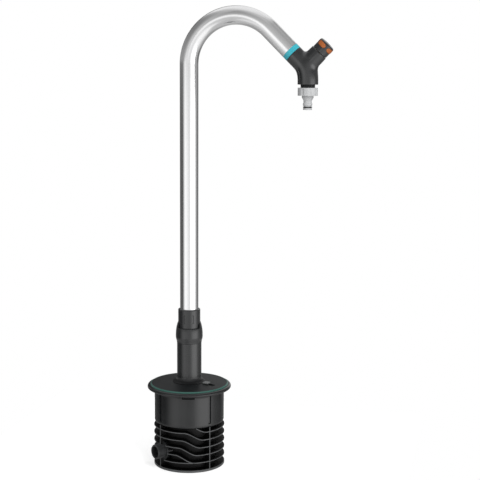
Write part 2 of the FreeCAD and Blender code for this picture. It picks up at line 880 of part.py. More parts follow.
def spout_insert():
    """Plug between the tube's upper end and the valve body."""
    shape = turned([
        (plug_bore, tube_tail - insert_length), (plug_fit - 1.0, tube_tail - insert_length),
        (plug_fit, tube_tail - insert_length + 1.0), (plug_fit, body_start),
        (insert_nose_radius, body_start), (insert_nose_radius, body_start + insert_nose),
        (plug_bore, body_start + insert_nose)])
    for middle in insert_grooves():
        shape = shape.cut(groove(plug_fit, plug_fit - groove_floor, middle, groove_length))
    floor = insert_nose_radius - groove_floor
    shape = shape.cut(groove(insert_nose_radius, floor, nose_groove(), groove_length))
    return placed(shape, tail_place(0))


def insert_o_rings():
    rings = [ring_in_groove(plug_fit, middle) for middle in insert_grooves()]
    rings.append(ring_in_groove(insert_nose_radius, nose_groove()))
    return placed(Part.makeCompound(rings), tail_place(0))


def outlet_ring():
    """Teal ring between the tube and the valve body."""
    return placed(pipe(tube_radius, plug_fit + fit_gap, tube_tail, body_start), tail_place(0))


def elbow(radius, base, angle, reach, bend, low):
    """A round bar that comes down a slanted axis and turns into the upright outlet."""
    tangent = bend * math.tan(math.radians(abs(angle)) / 2)
    place = FreeCAD.Placement(base, FreeCAD.Rotation(SIDE, angle))
    slanted = placed(disc(radius, tangent, reach), place)
    corner = base - UP * tangent
    section = Part.Face(Part.Wire(Part.makeCircle(radius, corner, UP)))
    side = math.copysign(1, angle)
    turn = section.revolve(corner + V(side * bend, 0, 0), SIDE, angle)
    upright = disc(radius, low, corner.z, base.x)
    return joined([slanted, turn, upright])


def valve_body():
    """Y-shaped body: arm from the tube, branch for the valve, outlet with its thread."""
    arm = elbow(tube_radius, crossing, bend_angle - 180, arm_length, left_bend, collar_bottom)
    taper = branch_length * cone_share
    branch = elbow(branch_radius, branch_base, branch_angle, branch_length - taper, branch_bend,
                   collar_bottom + 2)
    end = Part.makeCone(branch_radius, branch_end_radius, taper, V(0, 0, branch_length - taper))
    outside = joined([arm, branch, placed(end, branch_place)]).fuse(crotch_saddle())
    ring = turned([
        (tube_radius - collar_edge, collar_bottom), (tube_radius + 1, collar_bottom),
        (tube_radius + 1, collar_bottom + collar_edge), (tube_radius, collar_bottom + collar_edge)])
    outside = outside.cut(placed(ring, outlet_place))
    thread = disc(outlet_thread_radius, thread_bottom, collar_bottom + 1, outlet_x)
    outside = outside.fuse(thread)
    bore_top = branch_base.z - outlet_bore_depth
    side_x = outlet_x + outlet_bore
    nose_fit = insert_nose_radius + fit_gap
    cuts = [
        disc(outlet_bore, thread_bottom - 1, bore_top, outlet_x),
        disc(side_passage, bore_top - 2, branch_base.z - side_passage_depth, side_x),
        placed(disc(nose_fit, body_start - 1, body_start + insert_nose + slide_gap), tail_place(0)),
        placed(disc(waterway, body_start, body_start + arm_length - 2.0), tail_place(0)),
        placed(disc(waterway, -waterway_meet, cartridge_start), branch_place),
        placed(disc(cartridge_radius + fit_gap, cartridge_start - seat_washer_thickness,
                    branch_length + 1), branch_place)]
    return outside.cut(cuts)


def crotch_saddle():
    """A bar that turns from one branch into the other, so that the valley between them is round."""
    bend = branch_radius + crotch_rounding
    meet = branch_place.multVec(V(0, 0, -branch_rise * math.cos(math.radians(branch_angle))))
    start = meet + V(math.cos(math.radians(45)), 0, math.sin(math.radians(45))) * bend
    section = Part.Face(Part.Wire(Part.makeCircle(branch_radius, start, V(1, 0, 1))))
    return section.revolve(meet + UP * (bend * math.sqrt(2)), SIDE, 90)


def seat_washer():
    """Rubber ring under the cartridge."""
    start = cartridge_start - seat_washer_thickness
    return placed(pipe(cartridge_neck, waterway + 0.3, start, cartridge_start), branch_place)


def valve_cartridge():
    """Housing of the ceramic valve, screwed into the branch."""
    end = cartridge_start + cartridge_length
    neck_end = cartridge_start + cartridge_neck_length
    shaft_bore = spindle_radius + running_gap
    chamber = disc_radius + running_gap
    housing = turned([
        (cartridge_neck, cartridge_start), (cartridge_neck, neck_end),
        (cartridge_radius, neck_end + 0.6), (cartridge_radius, end), (shaft_bore, end),
        (shaft_bore, neck_end), (chamber, neck_end), (chamber, cartridge_start)])
    low = cartridge_start + disc_thickness * 2 + spindle_foot
    window = block(-cartridge_neck - 1, cartridge_neck + 1, -cartridge_window / 2,
                   cartridge_window / 2, low, low + window_length)
    floor = spindle_radius + fit_gap + spindle_groove
    seat = end - spindle_seal_setback
    seal = pipe(floor, spindle_radius, seat - groove_length / 2, seat + groove_length / 2)
    return placed(housing.cut([window, seal]), branch_place)


def spindle_o_ring():
    seat = cartridge_start + cartridge_length - spindle_seal_setback
    room = spindle_groove + fit_gap - running_gap
    ring = o_ring(spindle_radius + running_gap + room / 2, room / 2 - o_ring_gap, seat)
    return placed(ring, branch_place)


def disc_with_ports(start, turn):
    """A ceramic disc with two quarter-round ports."""
    plate = disc(disc_radius, start, start + disc_thickness)
    ports = []
    for half in (0, 180):
        far = disc_radius - port_rim
        high = start + disc_thickness + 1
        sector = turned([(port_rim, start - 1), (far, start - 1), (far, high), (port_rim, high)],
                        turn + half, port_sweep)
        ports.append(sector)
    return placed(plate.cut(ports), branch_place)


def fixed_disc():
    return disc_with_ports(cartridge_start, (90 - port_sweep) / 2)


def turning_disc():
    return disc_with_ports(cartridge_start + disc_thickness, (90 - port_sweep) / 2 + 90)


def spindle():
    """Spindle that turns the upper disc."""
    foot = cartridge_start + disc_thickness * 2
    waist = foot + spindle_foot
    waist_radius = spindle_radius + 1.0
    guide_radius = disc_radius - slide_gap
    guide_top = cartridge_start + cartridge_neck_length - slide_gap
    shape = turned([
        (0, foot), (guide_radius, foot), (guide_radius, waist), (waist_radius, waist),
        (waist_radius, waist + window_length - 0.4), (guide_radius, waist + window_length - 0.4),
        (guide_radius, guide_top), (spindle_radius, guide_top), (spindle_radius, spindle_length),
        (0, spindle_length)])
    shape = shape.cut(disc(knob_screw_radius + fit_gap, spindle_length - knob_screw_bite - 0.5,
                           spindle_length + 1))
    return placed(shape, branch_place)


def inlay_footprint(grow):
    """Rounded bar that runs out radially along +X and stamps one grip inlay."""
    reach = 2 * (knob_radius + inlay_proud) * math.sin(math.radians(inlay_span / 2)) + 2 * grow
    width = inlay_width + 2 * grow
    middle = knob_end - inlay_setback
    straight = (reach - width) / 2
    bar = block(0, knob_radius + 3, -straight, straight, middle - width / 2, middle + width / 2)
    for y in (-straight, straight):
        end = Part.makeCylinder(width / 2, knob_radius + 3, V(0, y, middle), V(1, 0, 0))
        bar = bar.fuse(end)
    return bar.removeSplitter()


def inlay_turns():
    return [first_inlay + 360.0 / inlay_count * index for index in range(inlay_count)]


def knob():
    """Cup-shaped knob with pockets for its grip inlays and a hub on the spindle."""
    inside = knob_end - knob_top
    cup = turned([
        (knob_radius - knob_wall, knob_start), (knob_radius - 0.5, knob_start),
        (knob_radius, knob_start + 0.5), (knob_radius, knob_end - 1.6),
        ((knob_radius - 0.5, knob_end - 0.5), (knob_radius - 1.6, knob_end)),
        ((knob_radius * 0.5, knob_end + knob_crown * 0.75), (cap_radius, knob_end + knob_crown)),
        (0, knob_end + knob_crown), (0, inside), (knob_radius - knob_wall, inside)])
    hub = disc(hub_radius, inside - hub_length, inside + 0.5)
    shape = cup.fuse(hub)
    bore = disc(spindle_radius + fit_gap / 2, inside - hub_length - 1, spindle_length + 0.1)
    screw_hole = disc(knob_screw_radius + fit_gap, spindle_length - 1, knob_end + 5)
    head_seat = knob_end + knob_crown - cap_thickness - screw_head_height
    head_room = disc(screw_head_radius + fit_gap, head_seat, knob_end + 5)
    cap_room = disc(cap_radius + fit_gap, knob_end + knob_crown - cap_thickness, knob_end + 5)
    band = pipe(knob_radius + 2, knob_radius - inlay_depth, knob_start, knob_end)
    cuts = [bore, screw_hole, head_room, cap_room]
    for turn in inlay_turns():
        cuts.append(spun(inlay_footprint(fit_gap), turn).common(band))
    return placed(shape.cut(cuts), branch_place)


def knob_grips():
    """Orange grip inlays, a little proud of the knob."""
    low = knob_radius - inlay_depth + fit_gap / 2
    band = pipe(knob_radius + inlay_proud, low, knob_start, knob_end)
    inlays = [spun(inlay_footprint(0), turn).common(band) for turn in inlay_turns()]
    return placed(Part.makeCompound(inlays), branch_place)


def knob_screw():
    """Screw that holds the knob on the spindle."""
    head_bottom = knob_end + knob_crown - cap_thickness - screw_head_height
    tip = spindle_length - knob_screw_bite
    screw = turned([
        (0, tip), (knob_screw_radius, tip), (knob_screw_radius, head_bottom),
        (screw_head_radius, head_bottom),
        (screw_head_radius, head_bottom + screw_head_height - 0.1),
        (0, head_bottom + screw_head_height - 0.1)])
    return placed(screw, branch_place)


def knob_cap():
    """Flush cap over the knob's screw."""
    top = knob_end + knob_crown
    return placed(disc(cap_radius, top - cap_thickness, top), branch_place)


def adapter_grips():
    """Shallow hollows round the adapter's nut, between its broad grip ribs."""
    cuts = []
    for index in range(adapter_grip_count):
        turn = math.radians(360.0 / adapter_grip_count * (index + 0.5))
        far = adapter_nut_radius + adapter_grip_radius - adapter_grip_depth
        cuts.append(disc(adapter_grip_radius, adapter_under - 1, adapter_top - 1.6,
                         far * math.cos(turn), far * math.sin(turn)))
    return cuts


def tap_adapter():
    """Threaded nut and quick-coupling nipple in one light grey piece."""
    seat = thread_bottom - washer_thickness
    neck_top = adapter_under - nipple_neck_drop
    tip_top = nipple_ring_top - groove_length - 2 * slide_gap
    floor = nipple_radius - groove_floor
    shape = turned([
        (adapter_bore, nipple_tip), (nipple_radius - 0.6, nipple_tip),
        (nipple_radius, nipple_tip + 0.7), (nipple_radius, tip_top), (floor, tip_top),
        (floor, nipple_ring_top), (nipple_radius, nipple_ring_top),
        (nipple_radius, nipple_ring_top + 0.8), (nipple_radius - 0.4, nipple_ring_top + 0.8),
        (nipple_radius - 0.4, nipple_collar_low), (nipple_collar, nipple_collar_low),
        (nipple_collar, nipple_collar_top), (nipple_neck, nipple_collar_top + 0.3),
        (nipple_neck, neck_top), (adapter_shoulder, neck_top + shoulder_height),
        (adapter_shoulder, adapter_under),
        (adapter_nut_radius - 0.5, adapter_under), (adapter_nut_radius, adapter_under + 0.5),
        (adapter_nut_radius, adapter_top - 0.5), (adapter_nut_radius - 0.5, adapter_top),
        (outlet_thread_radius + fit_gap, adapter_top), (outlet_thread_radius + fit_gap, seat),
        (adapter_bore, seat)])
    return placed(shape.cut(adapter_grips()), outlet_place)


def adapter_washer():
    ring = pipe(outlet_thread_radius - 0.3, outlet_bore, thread_bottom - washer_thickness,
                thread_bottom)
    return placed(ring, outlet_place)


def nipple_o_ring():
    """O-ring near the nipple's tip, standing slightly proud."""
    cord = (groove_floor + nipple_o_ring_proud - o_ring_gap) / 2
    middle = nipple_ring_top - groove_length / 2 - slide_gap
    ring = o_ring(nipple_radius + nipple_o_ring_proud - cord, cord, middle)
    return placed(ring, outlet_place)


def latch_slider():
    """Sliding latch: toe in the column's groove, plate under the lid, pad on top."""
    half = latch_width / 2
    neck_half = latch_neck_width / 2
    toe = column_radius - catch_depth + slide_gap * 3
    tongue_end = slot_reach - latch_travel - slide_gap
    plate = block(toe, latch_plate_reach, -half, half, latch_bottom, latch_top)
    tongue = block(toe, tongue_end, -neck_half, neck_half, latch_bottom, latch_top)
    hollow = disc(toe, latch_bottom - 1, latch_top + 1)
    pad_bottom = lid_top + slide_gap
    neck = block(latch_neck_start, latch_neck_start + latch_neck_length, -neck_half, neck_half,
                 latch_top - 0.5, pad_bottom + 0.5)
    pad = block(pad_start, pad_start + pad_length, -pad_width / 2, pad_width / 2, pad_bottom,
                pad_bottom + pad_height)
    upper = [edge for edge in pad.Edges if edge.BoundBox.ZMin > pad_bottom + pad_height / 2]
    pad = pad.makeFillet(pad_rounding, upper)
    return placed(joined([plate.cut(hollow), tongue.cut(hollow), neck, pad]), latch_place)


def latch_keeper():
    """Plate screwed under the lid that holds the latch in its channel."""
    under = channel_bottom - keeper_thickness
    plate = block(channel_start, channel_end, -channel_half, channel_half, under, channel_bottom)
    holes = [disc(keeper_hole, under - 1, channel_bottom + 1, x, y)
             for x, y in keeper_screw_places()]
    inside_skirt = shell_inside - slide_gap - skirt_wall - fit_gap
    plate = plate.common(disc(inside_skirt, under, channel_bottom))
    return placed(plate.cut(holes), latch_place)


def keeper_screws():
    """Four small screws that hold the keeper to the rails."""
    under = channel_bottom - keeper_thickness
    shank = keeper_hole - fit_gap / 2
    screws = []
    for x, y in keeper_screw_places():
        shaft = disc(shank, under, channel_bottom + keeper_bite, x, y)
        head = disc(shank * 2, under - 1.0, under, x, y)
        screws.append(shaft.fuse(head).removeSplitter())
    return placed(Part.makeCompound(screws), latch_place)


def latch_springs():
    """Two small springs that push the latch back towards the column."""
    length = slot_reach - latch_plate_reach - fit_gap
    spring = helical_spring(latch_spring_radius, latch_spring_wire / 2, length,
                            latch_spring_turns)
    springs = []
    for y in (-latch_width / 2 + latch_spring_radius, latch_width / 2 - latch_spring_radius):
        place = FreeCAD.Placement(
            V(latch_plate_reach + fit_gap / 2, y, (latch_bottom + latch_top) / 2),
            FreeCAD.Rotation(SIDE, 90))
        springs.append(placed(spring, place))
    return placed(Part.makeCompound(springs), latch_place)


pieces = [
    ground_box, lid, lid_ring, inlet_connector, inlet_lock_nut, inlet_o_ring, valve_socket,
    socket_screws, stop_plunger, stop_seal, stop_spring, latch_slider, latch_keeper,
    keeper_screws, latch_springs, column, riser_pipe, riser_o_rings, riser_gasket, tube_plug,
    tube_o_rings, clamp_ring, union_nut, grip_sleeve, spout_tube, outlet_ring, spout_insert,
    insert_o_rings, valve_body, seat_washer, valve_cartridge, fixed_disc, turning_disc, spindle,
    spindle_o_ring, knob, knob_grips, knob_screw, knob_cap, tap_adapter, adapter_washer,
    nipple_o_ring]

os.makedirs("parts", exist_ok=True)
for make in pieces:
    shape = make()
    name = make.__name__
    print(name, len(shape.Solids), "solids, volume %.0f mm3" % shape.Volume)
    shape.exportStep("parts/" + name + ".step")
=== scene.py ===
"""A garden tap: a bent aluminium spout on a plug-in column that stands in a finned ground box.

Metres in the scene, +Z up, the spout reaching out along +X. Sizes in the sections are
millimetres, and mesh() turns them into metres.
"""
import math

import bmesh
import bpy
import numpy as np
from mathutils import Matrix, Vector


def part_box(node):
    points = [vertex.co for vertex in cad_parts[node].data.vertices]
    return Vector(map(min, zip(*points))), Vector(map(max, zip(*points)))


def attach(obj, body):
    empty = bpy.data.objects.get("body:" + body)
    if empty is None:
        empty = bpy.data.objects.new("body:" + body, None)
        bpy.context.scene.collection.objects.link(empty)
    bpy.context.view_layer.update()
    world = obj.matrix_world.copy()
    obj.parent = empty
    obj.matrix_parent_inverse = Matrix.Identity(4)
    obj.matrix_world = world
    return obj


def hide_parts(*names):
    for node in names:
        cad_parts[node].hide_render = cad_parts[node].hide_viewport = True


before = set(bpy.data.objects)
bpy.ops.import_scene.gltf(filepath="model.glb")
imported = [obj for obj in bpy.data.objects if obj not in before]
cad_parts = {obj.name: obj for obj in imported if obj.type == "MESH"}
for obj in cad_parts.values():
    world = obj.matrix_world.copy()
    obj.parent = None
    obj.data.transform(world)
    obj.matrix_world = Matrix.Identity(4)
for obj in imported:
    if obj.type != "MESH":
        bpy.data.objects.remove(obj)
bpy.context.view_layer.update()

# The camera: a long lens a little above the tap's middle, looking slightly down, with the
# spout's arm turned a few degrees towards it.
view_turn = math.radians(12.46)
view_pitch = math.radians(8.1)
view_roll = math.radians(0.32)
view_distance = 2.0479
view_offset = 0.09135
view_height = 0.7054
view_lens = 86.25

ahead = Vector((-math.sin(view_turn), math.cos(view_turn), 0))
beside = Vector((math.cos(view_turn), math.sin(view_turn), 0))
looking = ahead * math.cos(view_pitch) - Vector((0, 0, math.sin(view_pitch)))
upward = beside.cross(looking)
camera_axes = Matrix((beside, upward, -looking)).transposed()
camera_data = bpy.data.cameras.new("camera")
camera_data.sensor_width = 36.0
camera_data.lens = view_lens
camera_data.clip_start = 0.05
camera = bpy.data.objects.new("camera", camera_data)
camera.matrix_world = Matrix.Translation(
    beside * view_offset - ahead * view_distance + Vector((0, 0, view_height))
) @ (camera_axes @ Matrix.Rotation(view_roll, 3, "Z")).to_4x4()
bpy.context.scene.collection.objects.link(camera)
bpy.context.scene.camera = camera


# The ground box: one injection moulding in black plastic with a fine satin grain. The shell's
# four grooves guide the snaps of an extension ring, and the two windows take the lid's snaps.
def extent(node):
    """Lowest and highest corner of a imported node, in millimetres."""
    return np.array([list(corner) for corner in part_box(node)]) * 1000


class Signal:
    """One output of a finish's nodes. Arithmetic on it adds Math nodes."""

    def __init__(self, finish, socket):
        self.finish = finish
        self.socket = socket

    def math(self, operation, *values):
        inputs = dict(enumerate(values))
        return self.finish.node("ShaderNodeMath", {"operation": operation}, inputs)

    def __add__(self, other):
        return self.math("ADD", self, other)

    def __radd__(self, other):
        return self.math("ADD", other, self)

    def __sub__(self, other):
        return self.math("SUBTRACT", self, other)

    def __rsub__(self, other):
        return self.math("SUBTRACT", other, self)

    def __mul__(self, other):
        return self.math("MULTIPLY", self, other)

    def __rmul__(self, other):
        return self.math("MULTIPLY", other, self)


class Finish:
    """A node material with a Principled shader, built up with node()."""

    def __init__(self, name, **constants):
        self.material = bpy.data.materials.new(name)
        self.material.use_nodes = True
        self.tree = self.material.node_tree
        self.shader = self.tree.nodes["Principled BSDF"]
        for socket, value in constants.items():
            self.shader.inputs[socket.replace("_", " ")].default_value = value
        self.place = self.node("ShaderNodeTexCoord", {}, {}, "Object")

    def node(self, kind, settings, inputs, output=0):
        """Adds a node: settings first, then the values or signals of its sockets."""
        made = self.tree.nodes.new(kind)
        stops = settings.pop("stops", None)
        for name, value in settings.items():
            setattr(made, name, value)
        if stops:
            ramp = made.color_ramp
            while len(ramp.elements) < len(stops):
                ramp.elements.new(1.0)
            for element, (position, colour) in zip(ramp.elements, stops):
                element.position = position
                element.color = (*colour, 1.0)
        for socket, value in inputs.items():
            if isinstance(value, Signal):
                self.tree.links.new(value.socket, made.inputs[socket])
            else:
                made.inputs[socket].default_value = value
        return Signal(self, made.outputs[output])

    def stretched(self, factors, coordinates=None):
        """The place, scaled apart along X, Y and Z."""
        return self.node("ShaderNodeVectorMath", {"operation": "MULTIPLY"},
                         {0: coordinates or self.place, 1: factors})

    def noise(self, scale, detail=3.0, roughness=0.55, coordinates=None):
        """Cloudy noise on the place, mostly between 0.3 and 0.7."""
        return self.node("ShaderNodeTexNoise", {}, {
            "Vector": coordinates or self.place, "Scale": scale, "Detail": detail,
            "Roughness": roughness})

    def between(self, signal, low, high, start=0.0, end=1.0):
        """Maps a signal's range low..high on start..end, clamped."""
        return self.node("ShaderNodeMapRange", {"clamp": True}, {
            "Value": signal, "From Min": low, "From Max": high, "To Min": start, "To Max": end})

    def mixed(self, factor, first, second):
        """A colour between two colours: sockets 6, 7 and 2 are the node's own for colours."""
        return self.node("ShaderNodeMix", {"data_type": "RGBA"},
                         {0: factor, 6: first, 7: second}, 2)

    def bumped(self, height, strength, distance):
        """The normal of a surface raised by a height signal, with its full rise in metres."""
        return self.node("ShaderNodeBump", {}, {
            "Height": height, "Strength": strength, "Distance": distance})

    def clouds(self, scale):
        """Soft patches, 0 to 1."""
        return self.between(self.noise(scale, 4.0), 0.35, 0.65)

    def scuffs(self):
        """Scattered rubbed spots, 0 to 1."""
        return self.between(self.noise(160.0, 6.0, 0.7), 0.56, 0.72)

    def grain(self, strength):
        """The normal of a fine spark-eroded grain."""
        return self.bumped(self.noise(2600.0, 2.0, 0.6), strength, 0.00008)

    def from_axis(self):
        """Distance from the column's axis, in metres."""
        return self.node("ShaderNodeVectorMath", {"operation": "LENGTH"},
                         {0: self.stretched((1.0, 1.0, 0.0))}, "Value")

    def wear(self, **signals):
        """Links signals to the shader's sockets and returns the material."""
        for socket, signal in signals.items():
            self.tree.links.new(signal.socket, self.shader.inputs[socket.replace("_", " ")])
        return self.material


def shade(red, green, blue):
    """A colour from its values on the 0..255 display scale."""
    return tuple((c / 255) ** 2.2 for c in (red, green, blue)) + (1.0,)


def moulded(name, dark, light, satin, grain=0.15, **constants):
    """Moulded plastic: cloudy tone, a fine spark-eroded grain and slightly uneven gloss."""
    finish = Finish(name, **constants)
    cloud = finish.clouds(38.0)
    scuff = finish.scuffs()
    return finish.wear(
        Base_Color=finish.mixed(cloud * 0.75 + scuff * 0.25, shade(*dark), shade(*light)),
        Roughness=satin + cloud * 0.05 + scuff * 0.06, Normal=finish.grain(grain))


def rounded(corners, steps=6):
    """Outline through (x, y, radius) corners. Each corner is an arc that touches both sides:
    its centre lies radius / sin(half angle) from the corner on the bisector, and it starts
    radius / tan(half angle) along each side. A corner that is nearly straight stays a point."""
    nearly_straight = 1.55
    corners = np.array([(*c, 0.0)[:3] for c in corners], float)
    points = []
    for here, before, after in zip(corners, np.roll(corners, 1, 0), np.roll(corners, -1, 0)):
        corner, radius = here[:2], here[2]
        back = before[:2] - corner
        on = after[:2] - corner
        back = back / np.linalg.norm(back)
        on = on / np.linalg.norm(on)
        half = math.acos(np.clip(back @ on, -1, 1)) / 2
        if radius <= 0 or half > nearly_straight:
            points.append(corner[None])
            continue
        centre = corner + (back + on) / np.linalg.norm(back + on) * radius / math.sin(half)
        first = corner + back * radius / math.tan(half) - centre
        last = corner + on * radius / math.tan(half) - centre
        turn = math.atan2(first[0] * last[1] - first[1] * last[0], first @ last)
        angle = np.linspace(0, turn, steps)[:, None]
        points.append(centre + np.cos(angle) * first
                      + np.sin(angle) * np.array([-first[1], first[0]]))
    return np.concatenate(points)


def around(count=128, edges=(), soft=0.4):
    """Angles once round in degrees as one row, evenly spaced, with a pair of extra ones, soft
    degrees apart, at each sharp edge."""
    even = np.arange(count) * 360.0 / count
    extra = np.array([edge + side * soft for edge in edges for side in (-0.5, 0.5)])
    angles = np.unique(np.round(np.concatenate([even, extra % 360.0]), 4))
    return angles[None]


def band(value, low, high, soft):
    """1 between low and high and 0 outside, with straight flanks of width soft inside."""
    return np.clip((value - low) / soft, 0, 1) * np.clip((high - value) / soft, 0, 1)


def turned(outline, angles):
    """Points of an outline of (radius, height) carried round Z: one row for each outline
    point and one column for each angle."""
    turn = np.radians(angles)
    radius = outline[:, :1]
    height = outline[:, 1:]
    return np.stack([radius * np.cos(turn), radius * np.sin(turn), height + 0 * turn], -1)


def outwards(points, quads):
    """The quads of a closed surface, turned over if its signed volume is negative."""
    a, b, c, d = (points[quads[:, i]] for i in range(4))
    volume = (np.cross(a, b) * c).sum() + (np.cross(a, c) * d).sum()
    return quads[:, ::-1] if volume < 0 else quads


def mesh(*grids, smooth=38.0):
    """One mesh from grids of points in millimetres, each closed along its rows and columns."""
    points = []
    faces = []
    start = 0
    for grid in grids:
        flat = grid.reshape(-1, 3) / 1000
        here = np.arange(len(flat)).reshape(grid.shape[:2])
        above = np.roll(here, -1, 0)
        quads = np.stack([here, np.roll(here, -1, 1), np.roll(above, -1, 1), above], -1)
        points.append(flat)
        faces.append(outwards(flat, quads.reshape(-1, 4)) + start)
        start += len(flat)
    return faced(np.concatenate(points), np.concatenate(faces), smooth)


def faced(points, faces, smooth):
    """A smooth-shaded mesh whose doubles are merged, with edges sharper than smooth kept."""
    made = bpy.data.meshes.new("piece")
    made.vertices.add(len(points))
    made.vertices.foreach_set("co", points.astype(np.float32).ravel())
    made.loops.add(faces.size)
    made.loops.foreach_set("vertex_index", faces.astype(np.int32).ravel())
    made.polygons.add(len(faces))
    made.polygons.foreach_set("loop_start", np.arange(0, faces.size, 4, dtype=np.int32))
    made.update(calc_edges=True)
    made.validate()
    work = bmesh.new()
    work.from_mesh(made)
    bmesh.ops.remove_doubles(work, verts=work.verts, dist=2e-6)
    bmesh.ops.dissolve_degenerate(work, edges=work.edges, dist=1e-7)
    work.to_mesh(made)
    work.free()
    made.shade_smooth()
    made.set_sharp_from_angle(angle=math.radians(smooth))
    return made


def piece(name, made, material, slot, *nodes, body="stand"):
    """An object of a mesh that rides on its body, stands for its nodes and has its finish."""
    made.name = name
    made.materials.clear()
    made.materials.append(material)
    thing = bpy.data.objects.new(name, made)
    bpy.context.scene.collection.objects.link(thing)
    weighted = thing.modifiers.new("even shading", "WEIGHTED_NORMAL")
    weighted.keep_sharp = True
    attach(thing, body)
    if nodes:
        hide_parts(*nodes)


def refinish(material, *nodes):
    """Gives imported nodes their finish."""
    for node in nodes:
        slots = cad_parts[node].data.materials
        slots.clear()
        slots.append(material)


box_plastic = moulded("box_plastic", (30, 31, 32), (37, 38, 39), 0.17)
base_radius = 64.5
shell_radius = 63.4
shell_bottom = 80.2
shell_floor = 3.0
core_inside = 47.0
core_radius = 50.0
rim_radius, rim_top = extent("ground_box")[1, [0, 2]]
lip_bottom = rim_top - 6.6
seat_radius = 71.1
seat_inside = 59.4
seat_depth = 2.4
groove_width = 6.2
groove_depth = 2.2
groove_low = 87.2
groove_high = rim_top - 5.5
groove_angles = [-40.0, 50.0, 140.0, 230.0]
window_angles = [-76.5, 103.5]
window_width = 22.0
window_low = 135.5
window_high = 142.5
window_depth = 3.2
step_height = 0.3

shell_outline = rounded([
    (core_inside, shell_bottom), (shell_radius, shell_bottom, 4.0),
    (shell_radius, groove_low), (shell_radius, groove_low + step_height),
    (shell_radius, window_low), (shell_radius, window_low + step_height),
    (shell_radius, lip_bottom - 1.4, 4.4), (rim_radius, lip_bottom + 0.3, 2.4),
    (rim_radius, rim_top, 3.4), (seat_radius, rim_top, 0.4),
    (seat_radius, rim_top - seat_depth), (seat_inside, rim_top - seat_depth, 0.3),
    (seat_inside, shell_bottom + shell_floor, 1.0), (core_inside, shell_bottom + shell_floor)])


def apart(angles, centre):
    """Signed angle from a centre, between -180 and 180 degrees."""
    return (angles - centre + 180.0) % 360.0 - 180.0


def dented(outline, count, beyond, soft, step, dents):
    """The outline carried round and pushed in at dents (angle, width, low, high, depth), where
    it lies at a radius or beyond. It falls by depth * band(angle) * band(height): the flanks
    are soft degrees wide at the sides and step millimetres high at the top and bottom."""
    halves = [math.degrees(width / 2 / beyond) for angle, width, low, high, depth in dents]
    edges = [dent[0] + side * half for dent, half in zip(dents, halves) for side in (-1, 1)]
    angles = around(count, edges, soft)
    radius = outline[:, :1]
    height = outline[:, 1:]
    sunk = 0 * radius * angles
    for (centre, width, low, high, depth), half in zip(dents, halves):
        across = band(apart(angles, centre), -half - soft / 2, half + soft / 2, soft)
        sunk = np.maximum(sunk, depth * across * band(height, low, high, step))
    share = 1 - sunk * (radius > beyond - 0.01) / radius
    return turned(outline, angles) * np.stack([share, share, 1 + 0 * share], -1)


grooves = [(angle, groove_width, groove_low, groove_high, groove_depth)
           for angle in groove_angles]
windows = [(angle, window_width, window_low, window_high, window_depth)
           for angle in window_angles]
piece("box_shell", mesh(dented(shell_outline, 160, shell_radius, 0.4, step_height,
                               grooves + windows)),
      box_plastic, "box_plastic", "ground_box")

# The rest of the same moulding: the floor, the core inside the fins and the four ribs. The
# fins are one ribbon that steps down a pitch each time it comes round to the front.
fin_pitch = 13.8
first_fin = 18.0
fin_count = 5
fin_thickness = 1.6
fin_root = 48.5
step_span = 32.0
first_step = -83.0
step_shift = 5.3
ribbon_top = 81.6
ribbon_lead = 40.0
walk_step = 0.75
floor_top = 4.3
inlet_angle = -130.0
inlet_height = 33.0
collar_room = 18.2
collar_reach = 57.0


def eased(share):
    """Smooth step: 3 s^2 - 2 s^3 on the share clamped to 0..1."""
    share = np.clip(share, 0, 1)
    return share * share * (3 - 2 * share)


def ribbon_height(angle):
    """Height along the ribbon: it starts a pitch above the top level and loses a pitch at
    each step, where the level below comes round."""
    height = first_fin + fin_pitch * fin_count + 0 * angle
    for lap in range(fin_count):
        middle = first_step + step_shift * (fin_count - 1 - lap) + 360.0 * lap
        height = height - fin_pitch * eased((angle - middle + step_span / 2) / step_span)
    return height


def fin_surface(angle, height):
    """A section of (radius, share of the half thickness) carried along the ribbon. The half
    thickness grows as sqrt(1 + slope^2), so that it stays even across the ribbon, and the edge
    is cut back round the inlet's collar."""
    section = rounded([(fin_root, -1.0), (base_radius, -1.0, 0.45), (base_radius, 1.0, 0.45),
                       (fin_root, 1.0)], 4)
    turn = np.radians(angle)
    slope = np.gradient(height, turn) / base_radius
    half = fin_thickness / 2 * np.sqrt(1 + slope ** 2)
    off = base_radius * np.sin(np.radians(apart(angle, inlet_angle)))
    beside_inlet = np.hypot(off, height - inlet_height) < collar_room
    front = np.abs(apart(angle, inlet_angle)) < 90
    reach = np.where(beside_inlet & front, collar_reach, base_radius)
    drawn = (reach - fin_root) / (base_radius - fin_root)
    out = fin_root + (section[:, 0] - fin_root)[None, :] * drawn[:, None]
    rise = height[:, None] + section[:, 1][None, :] * half[:, None]
    return np.stack([out * np.cos(turn)[:, None], out * np.sin(turn)[:, None], rise], -1)


def capped(points):
    """Closes the two ends of a carried section: each gets a ring that shrinks to its middle."""
    first = np.broadcast_to(points[:1].mean(1, keepdims=True), points[:1].shape)
    last = np.broadcast_to(points[-1:].mean(1, keepdims=True), points[-1:].shape)
    return np.concatenate([first, points, last])


def painted_fin_shading(name, lit_edge, lit_edge_paler, painted_shade, satin):
    """Black plastic of the fins with painted light: the outer edges are satin and a lighter grey,
    a painted highlight for the light they catch, and the faces behind them are matt and
    near-black, painted shade for the gaps between the fins. The place's distance from the
    column's axis tells them apart."""
    finish = Finish(name, Specular_IOR_Level=0.35)
    edge = finish.between(finish.from_axis(), (base_radius - 0.9) / 1000,
                          (base_radius - 0.2) / 1000)
    edge_highlight = finish.mixed(finish.clouds(90.0), shade(*lit_edge), shade(*lit_edge_paler))
    # Painted light: the lighter edge colour is a painted highlight, and the near-black behind it
    # is painted shade.
    return finish.wear(
        Base_Color=finish.mixed(edge, shade(*painted_shade), edge_highlight),
        Roughness=0.6 - edge * (0.6 - satin), Normal=finish.grain(0.1))
